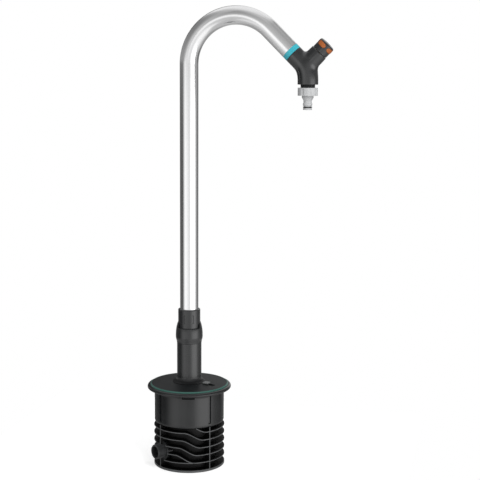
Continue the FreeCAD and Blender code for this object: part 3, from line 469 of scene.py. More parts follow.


# The fins' colours: a painted highlight on the edges and painted shade behind them.
fin_plastic = painted_fin_shading("fin_plastic", (82, 83, 84), (92, 93, 94), (5, 5, 5), 0.3)
walk = np.arange(first_step - ribbon_lead, first_step + 360.0 * (fin_count - 1) + step_span,
                 walk_step)
walk = walk[ribbon_height(walk) < ribbon_top]
ribbon = capped(fin_surface(walk, ribbon_height(walk)))
lowest_walk = np.arange(0.0, 360.0, walk_step)
lowest_fin = fin_surface(lowest_walk, first_fin + 0 * lowest_walk)
piece("box_fins", mesh(ribbon, lowest_fin), fin_plastic, "box_plastic")

frame_low = floor_top - 1
frame_high = shell_bottom + 1
rib_half = 0.8
floor_outline = rounded([(0.0, 0.0), (base_radius, 0.0, 0.8), (base_radius, floor_top, 0.5),
                         (0.0, floor_top)])
core_outline = rounded([(core_inside, frame_low), (core_radius, frame_low),
                        (core_radius, frame_high), (core_inside, frame_high)])
rib_section = rounded([(fin_root, -rib_half), (base_radius, -rib_half, 0.5),
                       (base_radius, rib_half, 0.5), (fin_root, rib_half)], 4)
rib = capped(np.stack([np.insert(rib_section, 2, level, 1) for level in (frame_low, frame_high)]))


def swung(points, angle):
    """Points turned about the column's axis by an angle in degrees."""
    turn = math.radians(angle)
    matrix = np.array([[math.cos(turn), math.sin(turn), 0],
                       [-math.sin(turn), math.cos(turn), 0], [0, 0, 1]])
    return points @ matrix


# The frame has the fins' finish, so its floor and core are painted near-black as shade.
piece("box_frame", mesh(turned(floor_outline, around(128)), turned(core_outline, around(128)),
                        *[swung(rib, angle) for angle in groove_angles]),
      fin_plastic, "box_plastic")

# The water inlet: the box's boss, and the connector with its collar and its G 3/4 thread, which
# a nut clamps from inside. The thread is a real right-handed helix.
inlet_turn = math.radians(inlet_angle)
inlet_along = (math.cos(inlet_turn), math.sin(inlet_turn), 0.0)
inlet_across = (-math.sin(inlet_turn), math.cos(inlet_turn), 0.0)
inlet_origin = (0.0, 0.0, inlet_height)
boss_start = 44.0
boss_end = 57.0
boss_radius = 17.2
boss_inside = 13.3
stub_start = 26.0
stub_end = 37.4
stub_radius = 10.0
stub_bore = 8.0
bore_start = 48.0
thread_radius = 13.2
thread_pitch = 1.814
thread_depth = 0.95
inlet_collar = 17.0
collar_end = boss_end + 3.0
inlet_reach = 76.0
inlet_bore = 9.7


def carried(points, origin, along, across):
    """Points from their own frame to their place: their +Z runs along and their +Y across."""
    return points @ np.stack([np.cross(across, along), across, along]) + origin


def finely(low, high, step):
    """Heights from low to high, evenly spaced by about a step."""
    return np.linspace(low, high, int(round((high - low) / step)) + 1)


def upright(radius, heights):
    """Outline points at one radius and many heights."""
    return np.stack(np.broadcast_arrays(radius, heights), -1)


def threaded(points, least, low, high, pitch, depth):
    """Cuts a right-handed thread into the wall of a turned surface beyond the radius least.
    With the phase p = z / pitch - angle / 360, the radius falls by depth * w, where w is the
    triangle wave |2 p - 1| with its crests and roots cut flat. It runs out at both ends."""
    x, y, z = np.moveaxis(points, -1, 0)
    radius = np.maximum(np.hypot(x, y), 1e-6)
    phase = (z / pitch - np.arctan2(y, x) / (2 * math.pi)) % 1.0
    wave = np.clip(1.5 * np.abs(2 * phase - 1) - 0.25, 0, 1)
    fall = depth * wave * band(z, low, high, pitch * 0.6) * (radius > least)
    share = (radius - fall) / radius
    return np.stack([x * share, y * share, z], -1)


inlet_plastic = moulded("inlet_plastic", (43, 44, 45), (52, 53, 54), 0.33)
boss_outline = rounded([(boss_inside, boss_start), (boss_radius, boss_start),
                        (boss_radius, boss_end, 0.4), (boss_inside, boss_end)])
connector_outline = np.concatenate([
    [(stub_bore, stub_start), (stub_radius, stub_start), (stub_radius, stub_end),
     (thread_radius, stub_end), (thread_radius, boss_end)],
    rounded([(thread_radius, boss_end), (inlet_collar, boss_end, 0.5),
             (inlet_collar, collar_end, 0.8), (thread_radius - thread_depth, collar_end)])[1:],
    upright(thread_radius, finely(collar_end + 0.2, inlet_reach - 1.0, thread_pitch / 12)),
    rounded([(thread_radius, inlet_reach - 1.0), (thread_radius - 1.0, inlet_reach, 0.3),
             (inlet_bore + 0.8, inlet_reach, 0.3), (inlet_bore, inlet_reach - 1.2),
             (inlet_bore, bore_start), (stub_bore, bore_start - 2.0)])[1:]])
connector = threaded(turned(connector_outline, around(96)), thread_radius - 0.02,
                     collar_end + 0.4, inlet_reach - 0.4, thread_pitch, thread_depth)
boss = carried(turned(boss_outline, around(96)), inlet_origin, inlet_along, inlet_across)
piece("box_boss", mesh(boss), box_plastic, "box_plastic")
piece("inlet", mesh(carried(connector, inlet_origin, inlet_along, inlet_across)),
      inlet_plastic, "box_plastic", "inlet_connector")

# The lid: a slightly conical moulded disc with a skirt whose two snaps click into the box's
# windows, a channel with rails for the latch under it and a finger dish in front of the latch.
lid_plastic = moulded("lid_plastic", (29, 31, 32), (36, 38, 39), 0.42, Specular_IOR_Level=0.2)
skirt_low, lid_top = extent("lid")[:, 2]
lid_seat_radius = 71.0
lid_hole = 22.55
foot_radius = 30.0
lid_edge_radius = 68.6
lid_edge_top = rim_top + 2.1
lid_seat = rim_top - seat_depth
lid_ledge = lid_seat + 2.0
skirt_radius = 59.1
skirt_inside = 56.7
lid_underside = lid_top - 3.0
latch_turn = -18.0
dish_reach = (42.0, 53.4)
dish_half = 5.15
dish_floor = 150.0
slot_reach = (32.7, 45.3)
slot_half = 3.8
channel_reach = (28.0, 54.4)
channel_half = 7.3
channel_top = 149.5
rail_reach = (29.0, 56.4)
rail_half = 1.0
rail_levels = (146.5, 150.1)
rail_aside = 8.3
snap_reach = (57.9, 60.9)
snap_half = 10.0
snap_levels = (136.5, 141.5)


def block(direction, reach, half, levels, radius, soft, aside=0.0):
    """An upright block in a direction from the column's axis: its two distances along it, half
    its width, its two levels, and how far aside its middle lies. Its upright edges are rounded
    by a radius and its level edges by soft: towards such an edge the section rises by
    soft * sin(angle) and is drawn in by soft * (1 - cos(angle))."""
    low, high = levels
    upper = [(high - soft + soft * math.sin(angle), soft * (1 - math.cos(angle)))
             for angle in np.linspace(0, math.pi / 2, 5)]
    lower = [(low + high - height, drawn) for height, drawn in reversed(upper)]
    rings = []
    for height, drawn in lower + upper:
        xs = (reach[0] + drawn, reach[1] - drawn)
        ys = (aside - half + drawn, aside + half - drawn)
        corner = max(radius - drawn, 0.05)
        flat = rounded([(xs[i], ys[j], corner) for i, j in ((0, 0), (1, 0), (1, 1), (0, 1))])
        rings.append(np.insert(flat, 2, height, 1))
    return swung(capped(np.stack(rings)), direction)


def carved(made, *cutters):
    """The mesh left when the cutters' solids are taken away from it."""
    whole = bpy.data.objects.new("whole", made)
    bpy.context.scene.collection.objects.link(whole)
    tools = []
    for cutter in cutters:
        tool = bpy.data.objects.new("cutter", cutter)
        bpy.context.scene.collection.objects.link(tool)
        cut = whole.modifiers.new("cut", "BOOLEAN")
        cut.operation = "DIFFERENCE"
        cut.solver = "EXACT"
        cut.object = tool
        tools.append(tool)
    graph = bpy.context.evaluated_depsgraph_get()
    left = bpy.data.meshes.new_from_object(whole.evaluated_get(graph))
    for thing in [whole] + tools:
        old = thing.data
        bpy.data.objects.remove(thing)
        bpy.data.meshes.remove(old)
    left.shade_smooth()
    left.set_sharp_from_angle(angle=math.radians(30))
    return left


lid_outline = rounded([
    (lid_hole, lid_underside), (lid_hole, lid_top, 0.3), (foot_radius, lid_top),
    (lid_edge_radius, lid_edge_top, 0.5), (lid_edge_radius, lid_ledge),
    (lid_seat_radius, lid_ledge), (lid_seat_radius, lid_seat), (skirt_radius, lid_seat),
    (skirt_radius, skirt_low, 0.4), (skirt_inside, skirt_low, 0.4),
    (skirt_inside, lid_underside - 1.7), (foot_radius, lid_underside)])
dish = block(latch_turn, dish_reach, dish_half, (dish_floor, lid_top + 3.0), 1.2, 0.4)
slot = block(latch_turn, slot_reach, slot_half, (lid_underside - 4.0, lid_top + 2.0), 0.5, 0.3)
channel = block(latch_turn, channel_reach, channel_half, (lid_underside - 8.0, channel_top),
                0.3, 0.2)
rails = [block(latch_turn, rail_reach, rail_half, rail_levels, 0.3, 0.2, aside)
         for aside in (-rail_aside, rail_aside)]
snaps = [block(angle, snap_reach, snap_half, snap_levels, 0.4, 0.4) for angle in window_angles]
lid_disc = carved(mesh(turned(lid_outline, around(160))), mesh(dish), mesh(slot), mesh(channel))
piece("lid_disc", lid_disc, lid_plastic, "lid_plastic", "lid")
piece("lid_rails", mesh(*rails, *snaps), lid_plastic, "lid_plastic")

# The trim ring round the lid: dark teal plastic, pressed on. Its outside slopes down to the rim.
teal_trim = moulded("teal_trim", (50, 89, 81), (60, 103, 94), 0.3, grain=0.1)
trim_radius, trim_top = extent("lid_ring")[1, [0, 2]]
trim_inside = lid_edge_radius + 0.1
trim_low = rim_top + 0.05
trim_outline = rounded([
    (trim_inside, lid_ledge), (lid_seat_radius, lid_ledge), (lid_seat_radius, trim_low),
    (trim_radius, trim_low, 0.25), (trim_inside + 0.9, trim_top, 0.45),
    (trim_inside, trim_top, 0.2)])
piece("trim_ring", mesh(turned(trim_outline, around(192))), teal_trim, "teal_trim", "lid_ring")

# The latch: a sliding plate under the lid that reaches into the column's groove, and its pad
# on top, moulded in a slightly paler plastic with a satin face.
latch_plastic = moulded("latch_plastic", (96, 98, 98), (110, 112, 112), 0.36)
tongue_reach = (21.35, 42.0)
tongue_half = 7.0
tongue_levels = (146.8, 149.2)
tail_reach = (40.0, 48.1)
tail_levels = (146.85, 149.15)
stem_reach = (33.0, 39.0)
stem_half = 3.5
stem_levels = (148.8, 154.2)
pad_reach = (31.4, 42.4)
pad_half = 5.75
pad_levels = (lid_top + 0.3, lid_top + 2.9)
tongue = block(latch_turn, tongue_reach, tongue_half, tongue_levels, 0.3, 0.2)
tail = block(latch_turn, tail_reach, stem_half, tail_levels, 0.3, 0.2)
stem = block(latch_turn, stem_reach, stem_half, stem_levels, 0.4, 0.2)
pad = block(latch_turn, pad_reach, pad_half, pad_levels, 1.4, 0.8)
piece("latch_pad", mesh(tongue, tail, stem, pad), latch_plastic, "lid_plastic", "latch_slider",
      body="latch")

# The column: a straight moulded casing with a flared foot that lies on the lid, the groove for
# the latch below it and the thread for the union nut at its top.
column_bottom, column_end = extent("column")[:, 2]
column_radius = 22.25
column_inside = 19.25
column_top, nut_top = extent("union_nut")[:, 2]
foot_top = lid_top + 9.8
neck_radius = 20.95
catch_top = lid_top - 3.5
catch_low = catch_top - 3.4
catch_radius = column_radius - 1.8
foot_edge = lid_top + 0.8
shelf_hole = 11.3
shelf_top = column_top - 3.0


def glossed(name, dark, light, foot, satin):
    """Black plastic with a satin gloss, and a duller toe round the foot whose darker colour is
    painted shade, for the shade the column casts on its flared foot. The toe lies below foot_top
    and further from the column's axis than the casing."""
    finish = Finish(name, Specular_IOR_Level=0.2, Coat_Roughness=satin)
    height = finish.node("ShaderNodeSeparateXYZ", {}, {0: finish.place}, "Z")
    casing = column_radius / 1000
    top = foot_top / 1000
    toe = finish.between(finish.from_axis(), casing + 0.0003, casing + 0.0025)
    toe = toe * finish.between(height, top, top + 0.001, 1.0, 0.0)
    scuff = finish.scuffs()
    tone = finish.mixed(finish.clouds(38.0) * 0.75 + scuff * 0.25, shade(*dark), shade(*light))
    # The toe's darker colour is painted shade.
    return finish.wear(
        Base_Color=finish.mixed(toe, tone, shade(*foot)), Coat_Weight=0.85 - toe * 0.85,
        Roughness=satin + toe * 0.3 + scuff * 0.06, Normal=finish.grain(0.15))


def flare(start, end, bulge, steps=12):
    """Points of a curve between two points, drawn towards a third:
    (1 - s)^2 start + 2 s (1 - s) bulge + s^2 end, with s from 0 to 1."""
    share = np.linspace(0, 1, steps)[:, None]
    return (1 - share) ** 2 * start + 2 * share * (1 - share) * bulge + share ** 2 * end


# The third colour is the painted shade on the column's toe.
column_plastic = glossed("column_plastic", (38, 39, 40), (44, 45, 46), (24, 25, 26), 0.22)
column_outline = np.concatenate([
    rounded([(column_inside, column_bottom), (column_radius, column_bottom, 1.0),
             (column_radius, catch_low), (catch_radius, catch_low),
             (catch_radius, catch_top), (column_radius, catch_top), (column_radius, lid_top),
             (foot_radius, lid_top, 0.2), (foot_radius, foot_edge)], 4)[1:],
    flare((foot_radius, foot_edge), (column_radius, foot_top),
          (column_radius + 0.9, lid_top + 3.0)),
    [(column_radius, foot_top + 0.3), (column_radius, column_top - 0.4),
     (column_radius - 0.4, column_top), (neck_radius, column_top)],
    upright(neck_radius, finely(column_top + 1.0, column_end - 0.5, 0.25)),
    [(neck_radius - 0.5, column_end), (column_inside, column_end),
     (column_inside, shelf_top), (shelf_hole, shelf_top), (shelf_hole, shelf_top - 3.0),
     (column_inside, shelf_top - 5.0), (column_inside, column_bottom)]])
column_walls = threaded(turned(column_outline, around(128)), neck_radius - 0.02,
                        column_top + 2.0, column_end + 0.5, pitch=3.0, depth=0.6)
piece("column_casing", mesh(column_walls), column_plastic, "column_plastic", "column")

# The union nut: a bulged nut that pulls the tube down on the column. It's cut flat at the front
# and the back down to a ledge, so that a spanner and a thumb find hold.
union_turn = 12.5
nut_bottom = column_top
nut_radius = 24.5
nut_cut = nut_top - 9.1
nut_half = 19.3
ledge_fall = 1.0
sleeve_radius = 20.05
sleeve_hole = sleeve_radius + 0.1
nut_waist = 16.8
nut_throat = 18.1
nut_seat = nut_top - 13.5
nut_inside = neck_radius + 0.1
nut_foot = column_radius + 0.7

nut_outline = np.concatenate([
    rounded([(nut_inside, nut_bottom), (column_radius + 0.35, nut_bottom, 0.3),
             (nut_foot, nut_bottom + 3.5)], 5)[:-1],
    flare((nut_foot, nut_bottom + 3.5), (nut_radius, nut_bottom + 11.0),
          (nut_radius - 0.2, nut_bottom + 6.5)),
    flare((nut_radius, nut_bottom + 12.0), (sleeve_radius + 0.75, nut_top),
          (nut_radius + 0.1, nut_bottom + 26.5), 28),
    rounded([(sleeve_hole, nut_top), (sleeve_hole, nut_seat), (nut_waist, nut_seat),
             (nut_waist, nut_seat - 5.0), (nut_throat, nut_seat - 6.5),
             (nut_inside, nut_seat - 6.5)])])


def nut_surface():
    """The outline carried round. Between the planes at nut_half from the middle the heights are
    cut off at nut_cut - ledge_fall * way^2, where way runs from 0 at the sleeve to 1 outside.
    The columns of points next to those planes are moved along with asin(nut_half / radius), so
    that the cut's sides stay straight."""
    nearly_square = 0.99
    edge = math.degrees(math.asin(nut_half / nut_radius))
    base = around(96, [edge, 180 - edge, 180 + edge, 360 - edge], 0.3)[0]
    offset = (base + 90.0) % 180.0 - 90.0
    rows = []
    for radius, height in nut_outline:
        here = math.degrees(math.asin(min(nut_half / radius, nearly_square)))
        moved = np.interp(offset, [-90, -edge, edge, 90], [-90, -here, here, 90])
        inside = (np.abs(offset) < edge) & (radius > sleeve_hole - 0.01)
        way = (radius - sleeve_hole) / (nut_radius - sleeve_hole)
        heights = np.where(inside, min(height, nut_cut - ledge_fall * way ** 2), height)
        turn = np.radians(base - offset + moved + 90.0 + union_turn)
        rows.append(np.stack([radius * np.cos(turn), radius * np.sin(turn), heights], -1))
    return np.stack(rows)


piece("nut", mesh(nut_surface(), smooth=30.0), column_plastic, "column_plastic", "union_nut")

# The grip sleeve over the tube's lower end, moulded with eight upright grip grooves.
sleeve_bottom, sleeve_top = extent("grip_sleeve")[:, 2]
sleeve_inside = 16.6
grip_count = 8
grip_width = 2.0
grip_depth = 0.8
grip_top = sleeve_top - 9.3
grip_bottom = grip_top - 15.3
grip_soft = 1.2

sleeve_outline = np.concatenate([
    [(sleeve_inside, sleeve_bottom), (sleeve_radius, sleeve_bottom)],
    upright(sleeve_radius, [grip_bottom - 0.1, grip_bottom + 0.3, grip_bottom + 0.9,
                            grip_top - 0.9, grip_top - 0.3, grip_top + 0.1]),
    rounded([(sleeve_radius, sleeve_top - 4.0), (sleeve_radius, sleeve_top, 1.6),
             (sleeve_inside, sleeve_top, 0.3), (sleeve_inside, sleeve_bottom)], 8)[1:-1]])
grips = [(union_turn + (index + 0.5) * 360.0 / grip_count, grip_width, grip_bottom, grip_top,
          grip_depth) for index in range(grip_count)]
piece("sleeve", mesh(dented(sleeve_outline, 96, sleeve_radius, grip_soft, 0.4, grips)),
      column_plastic, "column_plastic", "grip_sleeve")

# The spout: one drawn aluminium tube, bent once and clear anodised over a fine lengthwise brush.
# Its finish runs along the bend in UV coordinates.
tube_bottom, bend_top = extent("spout_tube")[:, 2]
tube_radius = 16.5
tube_inside = 15.0
edge_break = 0.35
edge_step = 0.4
straight_step = 16.0
bend_step = 2.2
tail_step = 12.0
bend_radius = 84.5
bend_turn = math.radians(135.0)
bend_height = bend_top - bend_radius - tube_radius
tube_tail = 50.7
level_across = np.array([0.0, 1.0, 0.0])
bend_end = np.array([bend_radius * (1 - math.cos(bend_turn)), 0.0,
                     bend_height + bend_radius * math.sin(bend_turn)])
tail_along = np.array([math.sin(bend_turn), 0.0, math.cos(bend_turn)])
bend_length = bend_radius * bend_turn
tube_start = tube_bottom - bend_height
tube_stations = np.concatenate([
    [tube_start, tube_start + edge_step], finely(tube_start + 12.0, 0.0, straight_step),
    finely(0.0, bend_length, bend_step)[1:],
    bend_length + finely(0.0, tube_tail - edge_step, tail_step)[1:],
    [bend_length + tube_tail]])


def spout_frame(station):
    """Middle, direction and outward side of the spout's axis at a distance from the bend's
    start: straight up before it, round a circle in it, and straight again after it."""
    turn = np.clip(station / bend_radius, 0, bend_turn)
    over = station - turn * bend_radius
    along = np.stack([np.sin(turn), 0 * turn, np.cos(turn)], -1)
    middle = np.stack([bend_radius * (1 - np.cos(turn)), 0 * turn,
                       bend_height + bend_radius * np.sin(turn)], -1) + along * over[:, None]
    side = np.stack([-np.cos(turn), 0 * turn, np.sin(turn)], -1)
    return middle, along, side


def swept(stations, radii):
    """A round section carried along the spout's axis, with a radius for each station: at an
    angle t it lies at middle + radius * (side cos t + across sin t)."""
    middle, along, side = spout_frame(stations)
    turn = np.radians(around(96))[..., None]
    ring = side[:, None] * np.cos(turn) + level_across * np.sin(turn)
    return middle[:, None] + ring * radii[:, None, None]


def unrolled(made):
    """Gives a spout mesh its UV coordinates, in tube widths: u is the way round the tube from
    the bend's outside to its inside, the same on both halves, and v is the way along it."""
    spots = np.empty(len(made.vertices) * 3, np.float32)
    made.vertices.foreach_get("co", spots)
    x, y, z = spots.reshape(-1, 3).T * 1000
    turn = np.clip(np.arctan2(z - bend_height, bend_radius - x), 0, None)
    turn = np.where(z < bend_height, np.where(x > bend_radius, bend_turn, 0.0),
                    np.minimum(turn, bend_turn))
    middle, along, side = spout_frame(turn * bend_radius)
    off = np.stack([x, y, z], -1) - middle
    station = turn * bend_radius + (off * along).sum(-1)
    round_it = np.arctan2(np.abs(y), (off * side).sum(-1))
    pairs = np.stack([round_it * tube_radius, station], -1) / (2 * tube_radius)
    corner = np.empty(len(made.loops), np.int32)
    made.loops.foreach_get("vertex_index", corner)
    layer = made.uv_layers.new(name="along")
    layer.data.foreach_set("uv", pairs[corner].astype(np.float32).ravel())
    return made


def brushed(name, dark, light, satin):
    """Anodised aluminium: fine lengthwise streaks in tone and gloss, and a faint cloudiness."""
    finish = Finish(name, Metallic=1.0)
    layout = finish.node("ShaderNodeTexCoord", {}, {}, "UV")
    streak = finish.noise(1.0, 3.0, 0.6, finish.stretched((26.0, 0.35, 1.0), layout))
    cloud = finish.between(finish.noise(9.0, 2.0), 0.35, 0.65)
    tone = finish.between(streak, 0.36, 0.64)
    return finish.wear(
        Base_Color=finish.mixed(tone * 0.6 + cloud * 0.4, dark, light),
        Roughness=satin + tone * 0.03 + cloud * 0.02)


aluminium = brushed("aluminium_tube", (0.8, 0.8, 0.805, 1.0), (0.85, 0.85, 0.855, 1.0), 0.17)
tube_radii = np.full(len(tube_stations), tube_radius)
tube_radii[[0, -1]] -= edge_break
tube_walls = np.concatenate([
    swept(tube_stations, tube_radii),
    swept(tube_stations[::-1], np.full(len(tube_stations), tube_inside))])
piece("tube", unrolled(mesh(tube_walls)), aluminium, "aluminium_tube", "spout_tube")

# The ring between the tube and the head: bright teal, glossy, clipped on.
ring_width = 8.7
body_start = tube_tail + ring_width
teal_ring = moulded("teal_ring", (52, 158, 174), (64, 178, 192), 0.24, grain=0.12)
ring_outline = rounded([
    (tube_inside, tube_tail), (tube_radius, tube_tail, 0.3),
    (tube_radius, body_start, 0.3), (tube_inside, body_start)], 5)
ring = carried(turned(ring_outline, around(128)), bend_end, tail_along, level_across)
piece("ring", mesh(ring), teal_ring, "teal_ring", "outlet_ring")

# The head: one Y-shaped moulding. The arm from the tube and the branch with the valve run into
# the upright outlet in smooth bends, and the valleys between them are filled out round.
head_plastic = moulded("head_plastic", (32, 33, 34), (38, 39, 40), 0.16, grain=0.05,
                       Specular_IOR_Level=0.8)
arm_length = 36.3
arm_bend = 46.5
branch_rise = 9.5
branch_radius = 16.0
branch_end_radius = 15.5
branch_bend = 32.0
branch_length = 27.6
outlet_drop = 26.5
crossing = bend_end + tail_along * (body_start + arm_length)
branch_base = crossing + np.array([0.0, 0.0, branch_rise])
branch_along = np.array([math.sqrt(0.5), 0.0, math.sqrt(0.5)])
collar_bottom = crossing[2] - outlet_drop
straight_down = np.array([0.0, 0.0, -1.0])
valley = 6.5
edge_round = 1.2
chamber_radius = 12.0
chamber_start = 0.9
insert_radius = 13.1
insert_depth = 12.9
way_radius = 6.0
way_start = 2.0
outlet_bore = 8.5
outlet_bore_start = 22.0


def smooth_least(first, second, width):
    """The lesser of two distances, blended over a width: min - h^2 * width / 4, where
    h = max(width - |difference|, 0) / width."""
    share = np.maximum(width - np.abs(first - second), 0) / width
    return np.minimum(first, second) - share * share * width / 4


def off_axis(spots, base, along):
    """Distance along an axis and distance from it."""
    off = spots - base
    reach = off @ along
    return reach, np.sqrt(np.maximum((off ** 2).sum(-1) - reach ** 2, 0))


def elbow_distance(spots, base, along, bend, slanted_radius, upright_radius):
    """Distance to the surface of a round bar that comes down a slanted axis to base and leaves
    it straight down. The bend is a torus whose circle touches both axes at a distance of
    bend * tan(half the turn) from base; before it the bar is a cylinder, after it another."""
    tangent = bend * math.tan(math.radians(45.0 / 2))
    centre = base + straight_down * tangent + np.array([math.copysign(bend, along[0]), 0, 0])
    reach, from_slanted = off_axis(spots, base, along)
    drop, from_upright = off_axis(spots, base, straight_down)
    off = spots - centre
    from_bend = np.hypot(np.hypot(off[..., 0], off[..., 2]) - bend, off[..., 1])
    surface = np.where(reach > tangent, from_slanted - slanted_radius,
                       np.where(drop > tangent, from_upright, from_bend) - upright_radius)
    return surface, reach


def head_field(spots):
    """Below zero inside the head: both elbows, blended in the valleys, cut off by the planes
    at the ring, at the knob and at the outlet's collar, and less the bores."""
    arm, arm_reach = elbow_distance(spots, crossing, -tail_along, arm_bend, tube_radius,
                                    tube_radius)
    taper = np.clip(((spots - branch_base) @ branch_along - branch_length * 0.6)
                    / (branch_length * 0.4), 0, 1)
    slanted = branch_radius - (branch_radius - branch_end_radius) * taper
    branch, branch_reach = elbow_distance(spots, branch_base, branch_along, branch_bend, slanted,
                                          branch_radius)
    whole = smooth_least(arm, branch, valley)
    ends = np.maximum(arm_reach - arm_length, branch_reach - branch_length)
    ends = np.maximum(ends, collar_bottom - spots[..., 2])
    whole = -smooth_least(-whole, -ends, edge_round)
    for base, along, radius, start in (
            (branch_base, branch_along, chamber_radius, chamber_start),
            (crossing, -tail_along, insert_radius, arm_length - insert_depth),
            (crossing, -tail_along, way_radius, way_start),
            (branch_base, straight_down, outlet_bore, outlet_bore_start)):
        reach, off = off_axis(spots, base, along)
        whole = np.maximum(whole, -np.maximum(off - radius, start - reach))
    return whole


def settled(points, field, cell):
    """Points moved onto the surface where a field is zero, in three steps of
    gradient * field / |gradient|^2, each at most half a cell long."""
    nudge = cell * 0.05
    least_slope = 0.25
    for _ in range(3):
        slope = np.stack([(field(points + nudge * unit) - field(points - nudge * unit))
                          / (2 * nudge) for unit in np.eye(3)], -1)
        steep = np.maximum((slope ** 2).sum(-1), least_slope)
        points = points - slope * np.clip(field(points) / steep, -cell / 2, cell / 2)[:, None]
    return points


def netted(field, low, high, cell):
    """Surface nets: points and quads of the surface where a field is zero. Each cell of the
    lattice that the surface crosses gets one point, the mean of the crossings on its edges, and
    each lattice edge that is crossed joins the points of its four cells with a quad."""
    axes = [np.arange(start, end + cell, cell) for start, end in zip(low, high)]
    lattice = np.stack(np.meshgrid(*axes, indexing="ij"), -1)
    values = field(lattice)
    inside = values < 0
    size = tuple(count - 1 for count in inside.shape)
    total = np.zeros(size + (3,))
    count = np.zeros(size)
    number = np.full(size, -1)
    edges = []
    for axis in range(3):
        near = np.moveaxis(values, axis, 0)[:-1]
        far = np.moveaxis(values, axis, 0)[1:]
        crossed = (near < 0) != (far < 0)
        at = np.argwhere(crossed)
        share = near[crossed] / (near[crossed] - far[crossed])
        at = np.insert(at[:, 1:], axis, at[:, 0], axis=1)
        spots = lattice[tuple(at.T)].copy()
        spots[:, axis] += share * cell
        others = [a for a in range(3) if a != axis]
        cells = []
        for step in ((0, 0), (-1, 0), (-1, -1), (0, -1)):
            corner = at.copy()
            corner[:, others[0]] += step[0]
            corner[:, others[1]] += step[1]
            fits = ((corner >= 0) & (corner < np.array(size))).all(1)
            np.add.at(total, tuple(corner[fits].T), spots[fits])
            np.add.at(count, tuple(corner[fits].T), 1)
            cells.append((corner, fits))
        flip = inside[tuple(at.T)] == (axis != 1)
        edges.append((cells, flip))
    used = count > 0
    number[used] = np.arange(used.sum())
    points = settled(total[used] / count[used][:, None], field, cell)
    quads = []
    for cells, flip in edges:
        fits = np.all([f for c, f in cells], 0)
        quad = np.stack([number[tuple(c[fits].T)] for c, f in cells], -1)
        quads.append(np.where(flip[fits][:, None], quad[:, ::-1], quad))
    return points, outwards(points, np.concatenate(quads))


head_low, head_high = extent("valve_body")
net_room = 1.5
half_width = 19.3
head_points, head_quads = netted(
    head_field, (head_low[0] - net_room, -half_width, collar_bottom - net_room),
    (head_high[0] + net_room, half_width, head_high[2] + net_room), cell=0.8)
piece("head", faced(head_points / 1000, head_quads, 40.0), head_plastic, "head_plastic",
      "valve_body")

# The outlet's neck, with the G 3/4 thread that the adapter is screwed on.
outlet_thread_radius = 13.05
neck_bottom = head_low[2]
neck_end = collar_bottom + 1.0
outlet_place = np.array([crossing[0], 0.0, 0.0])
neck_outline = np.concatenate([
    [(outlet_bore, neck_bottom), (outlet_thread_radius - 0.8, neck_bottom)],
    upright(outlet_thread_radius, finely(neck_bottom + 0.6, neck_end, thread_pitch / 12)),
    [(outlet_bore, neck_end)]])
neck = threaded(turned(neck_outline, around(96)), outlet_thread_radius - 0.02,
                neck_bottom, collar_bottom + 0.4, thread_pitch, thread_depth)
piece("head_neck", mesh(neck + outlet_place), inlet_plastic, "head_plastic")

# The knob: a cup that turns the valve's spindle, with four pockets for the soft orange grips.
# Pockets and grips are the same rounded bars, stamped in along a radius.
knob_radius = 14.7
knob_start = branch_length + 0.5
knob_end = knob_start + 19.4
knob_crown = 1.1
knob_round = 3.2
cup_inside = knob_radius - 2.0
cup_floor = knob_end - 3.6
hub_radius = 6.0
hub_start = cup_floor - 9.0
cap_hole = 5.7
cap_seat = knob_end + knob_crown - 1.2
screw_seat = cap_seat - 2.2
inlay_middle = knob_end - 6.5
inlay_width = 7.8
inlay_span = 68.0
inlay_depth = 1.2
inlay_proud = 0.35
inlay_angles = [-25.0 + 90.0 * index for index in range(4)]
inlay_gap = 0.15
spindle_bore = 3.55
spindle_end = 40.5
screw_bore = 3.3
screw_hole = 1.4


def bar_distance(spots, angle, grow):
    """Distance from the outline of a rounded bar that is stamped in along the radius at an
    angle, negative inside it. Beyond the knob's other side it counts as far away."""
    far_away = 20.0
    turn = math.radians(angle)
    outward = spots[..., 0] * math.cos(turn) + spots[..., 1] * math.sin(turn)
    beside_it = spots[..., 1] * math.cos(turn) - spots[..., 0] * math.sin(turn)
    half = (knob_radius + inlay_proud) * math.sin(math.radians(inlay_span / 2)) - inlay_width / 2
    past = np.maximum(np.abs(beside_it) - half, 0)
    flat = np.hypot(past, spots[..., 2] - inlay_middle) - inlay_width / 2 - grow
    return np.where(outward > 0, flat, far_away)


def knob_field(spots):
    """Below zero inside the knob: a rounded, slightly domed cup with a hub, less the pockets,
    the spindle's bore and the cap's seat."""
    radius = np.hypot(spots[..., 0], spots[..., 1])
    height = spots[..., 2]
    dome = knob_end + knob_crown * (1 - (radius / knob_radius) ** 2)
    cup = -smooth_least(knob_radius - radius, dome - height, knob_round)
    cup = -smooth_least(-cup, height - knob_start, 1.0)
    hollow = np.maximum(np.maximum(radius - cup_inside, height - cup_floor),
                        -np.maximum(radius - hub_radius, hub_start - height))
    cup = np.maximum(cup, -hollow)
    pocket = np.minimum.reduce([bar_distance(spots, angle, inlay_gap) for angle in inlay_angles])
    cup = np.maximum(cup, -np.maximum(pocket, knob_radius - inlay_depth - radius))
    bore = np.minimum(np.maximum(radius - spindle_bore, height - spindle_end),
                      radius - screw_hole)
    bore = np.minimum(bore, np.maximum(radius - screw_bore, screw_seat - height))
    bore = np.minimum(bore, np.maximum(radius - cap_hole, cap_seat - height))
    return np.maximum(cup, -bore)


def grip_field(spots):
    """Below zero inside the grips: the bars between the pockets' floors and a cylinder that
    stands a little proud, with soft edges."""
    radius = np.hypot(spots[..., 0], spots[..., 1])
    bars = np.minimum.reduce([bar_distance(spots, angle, 0.0) for angle in inlay_angles])
    face = -smooth_least(-bars, knob_radius + inlay_proud - radius, 0.9)
    return np.maximum(face, knob_radius - inlay_depth + 0.05 - radius)


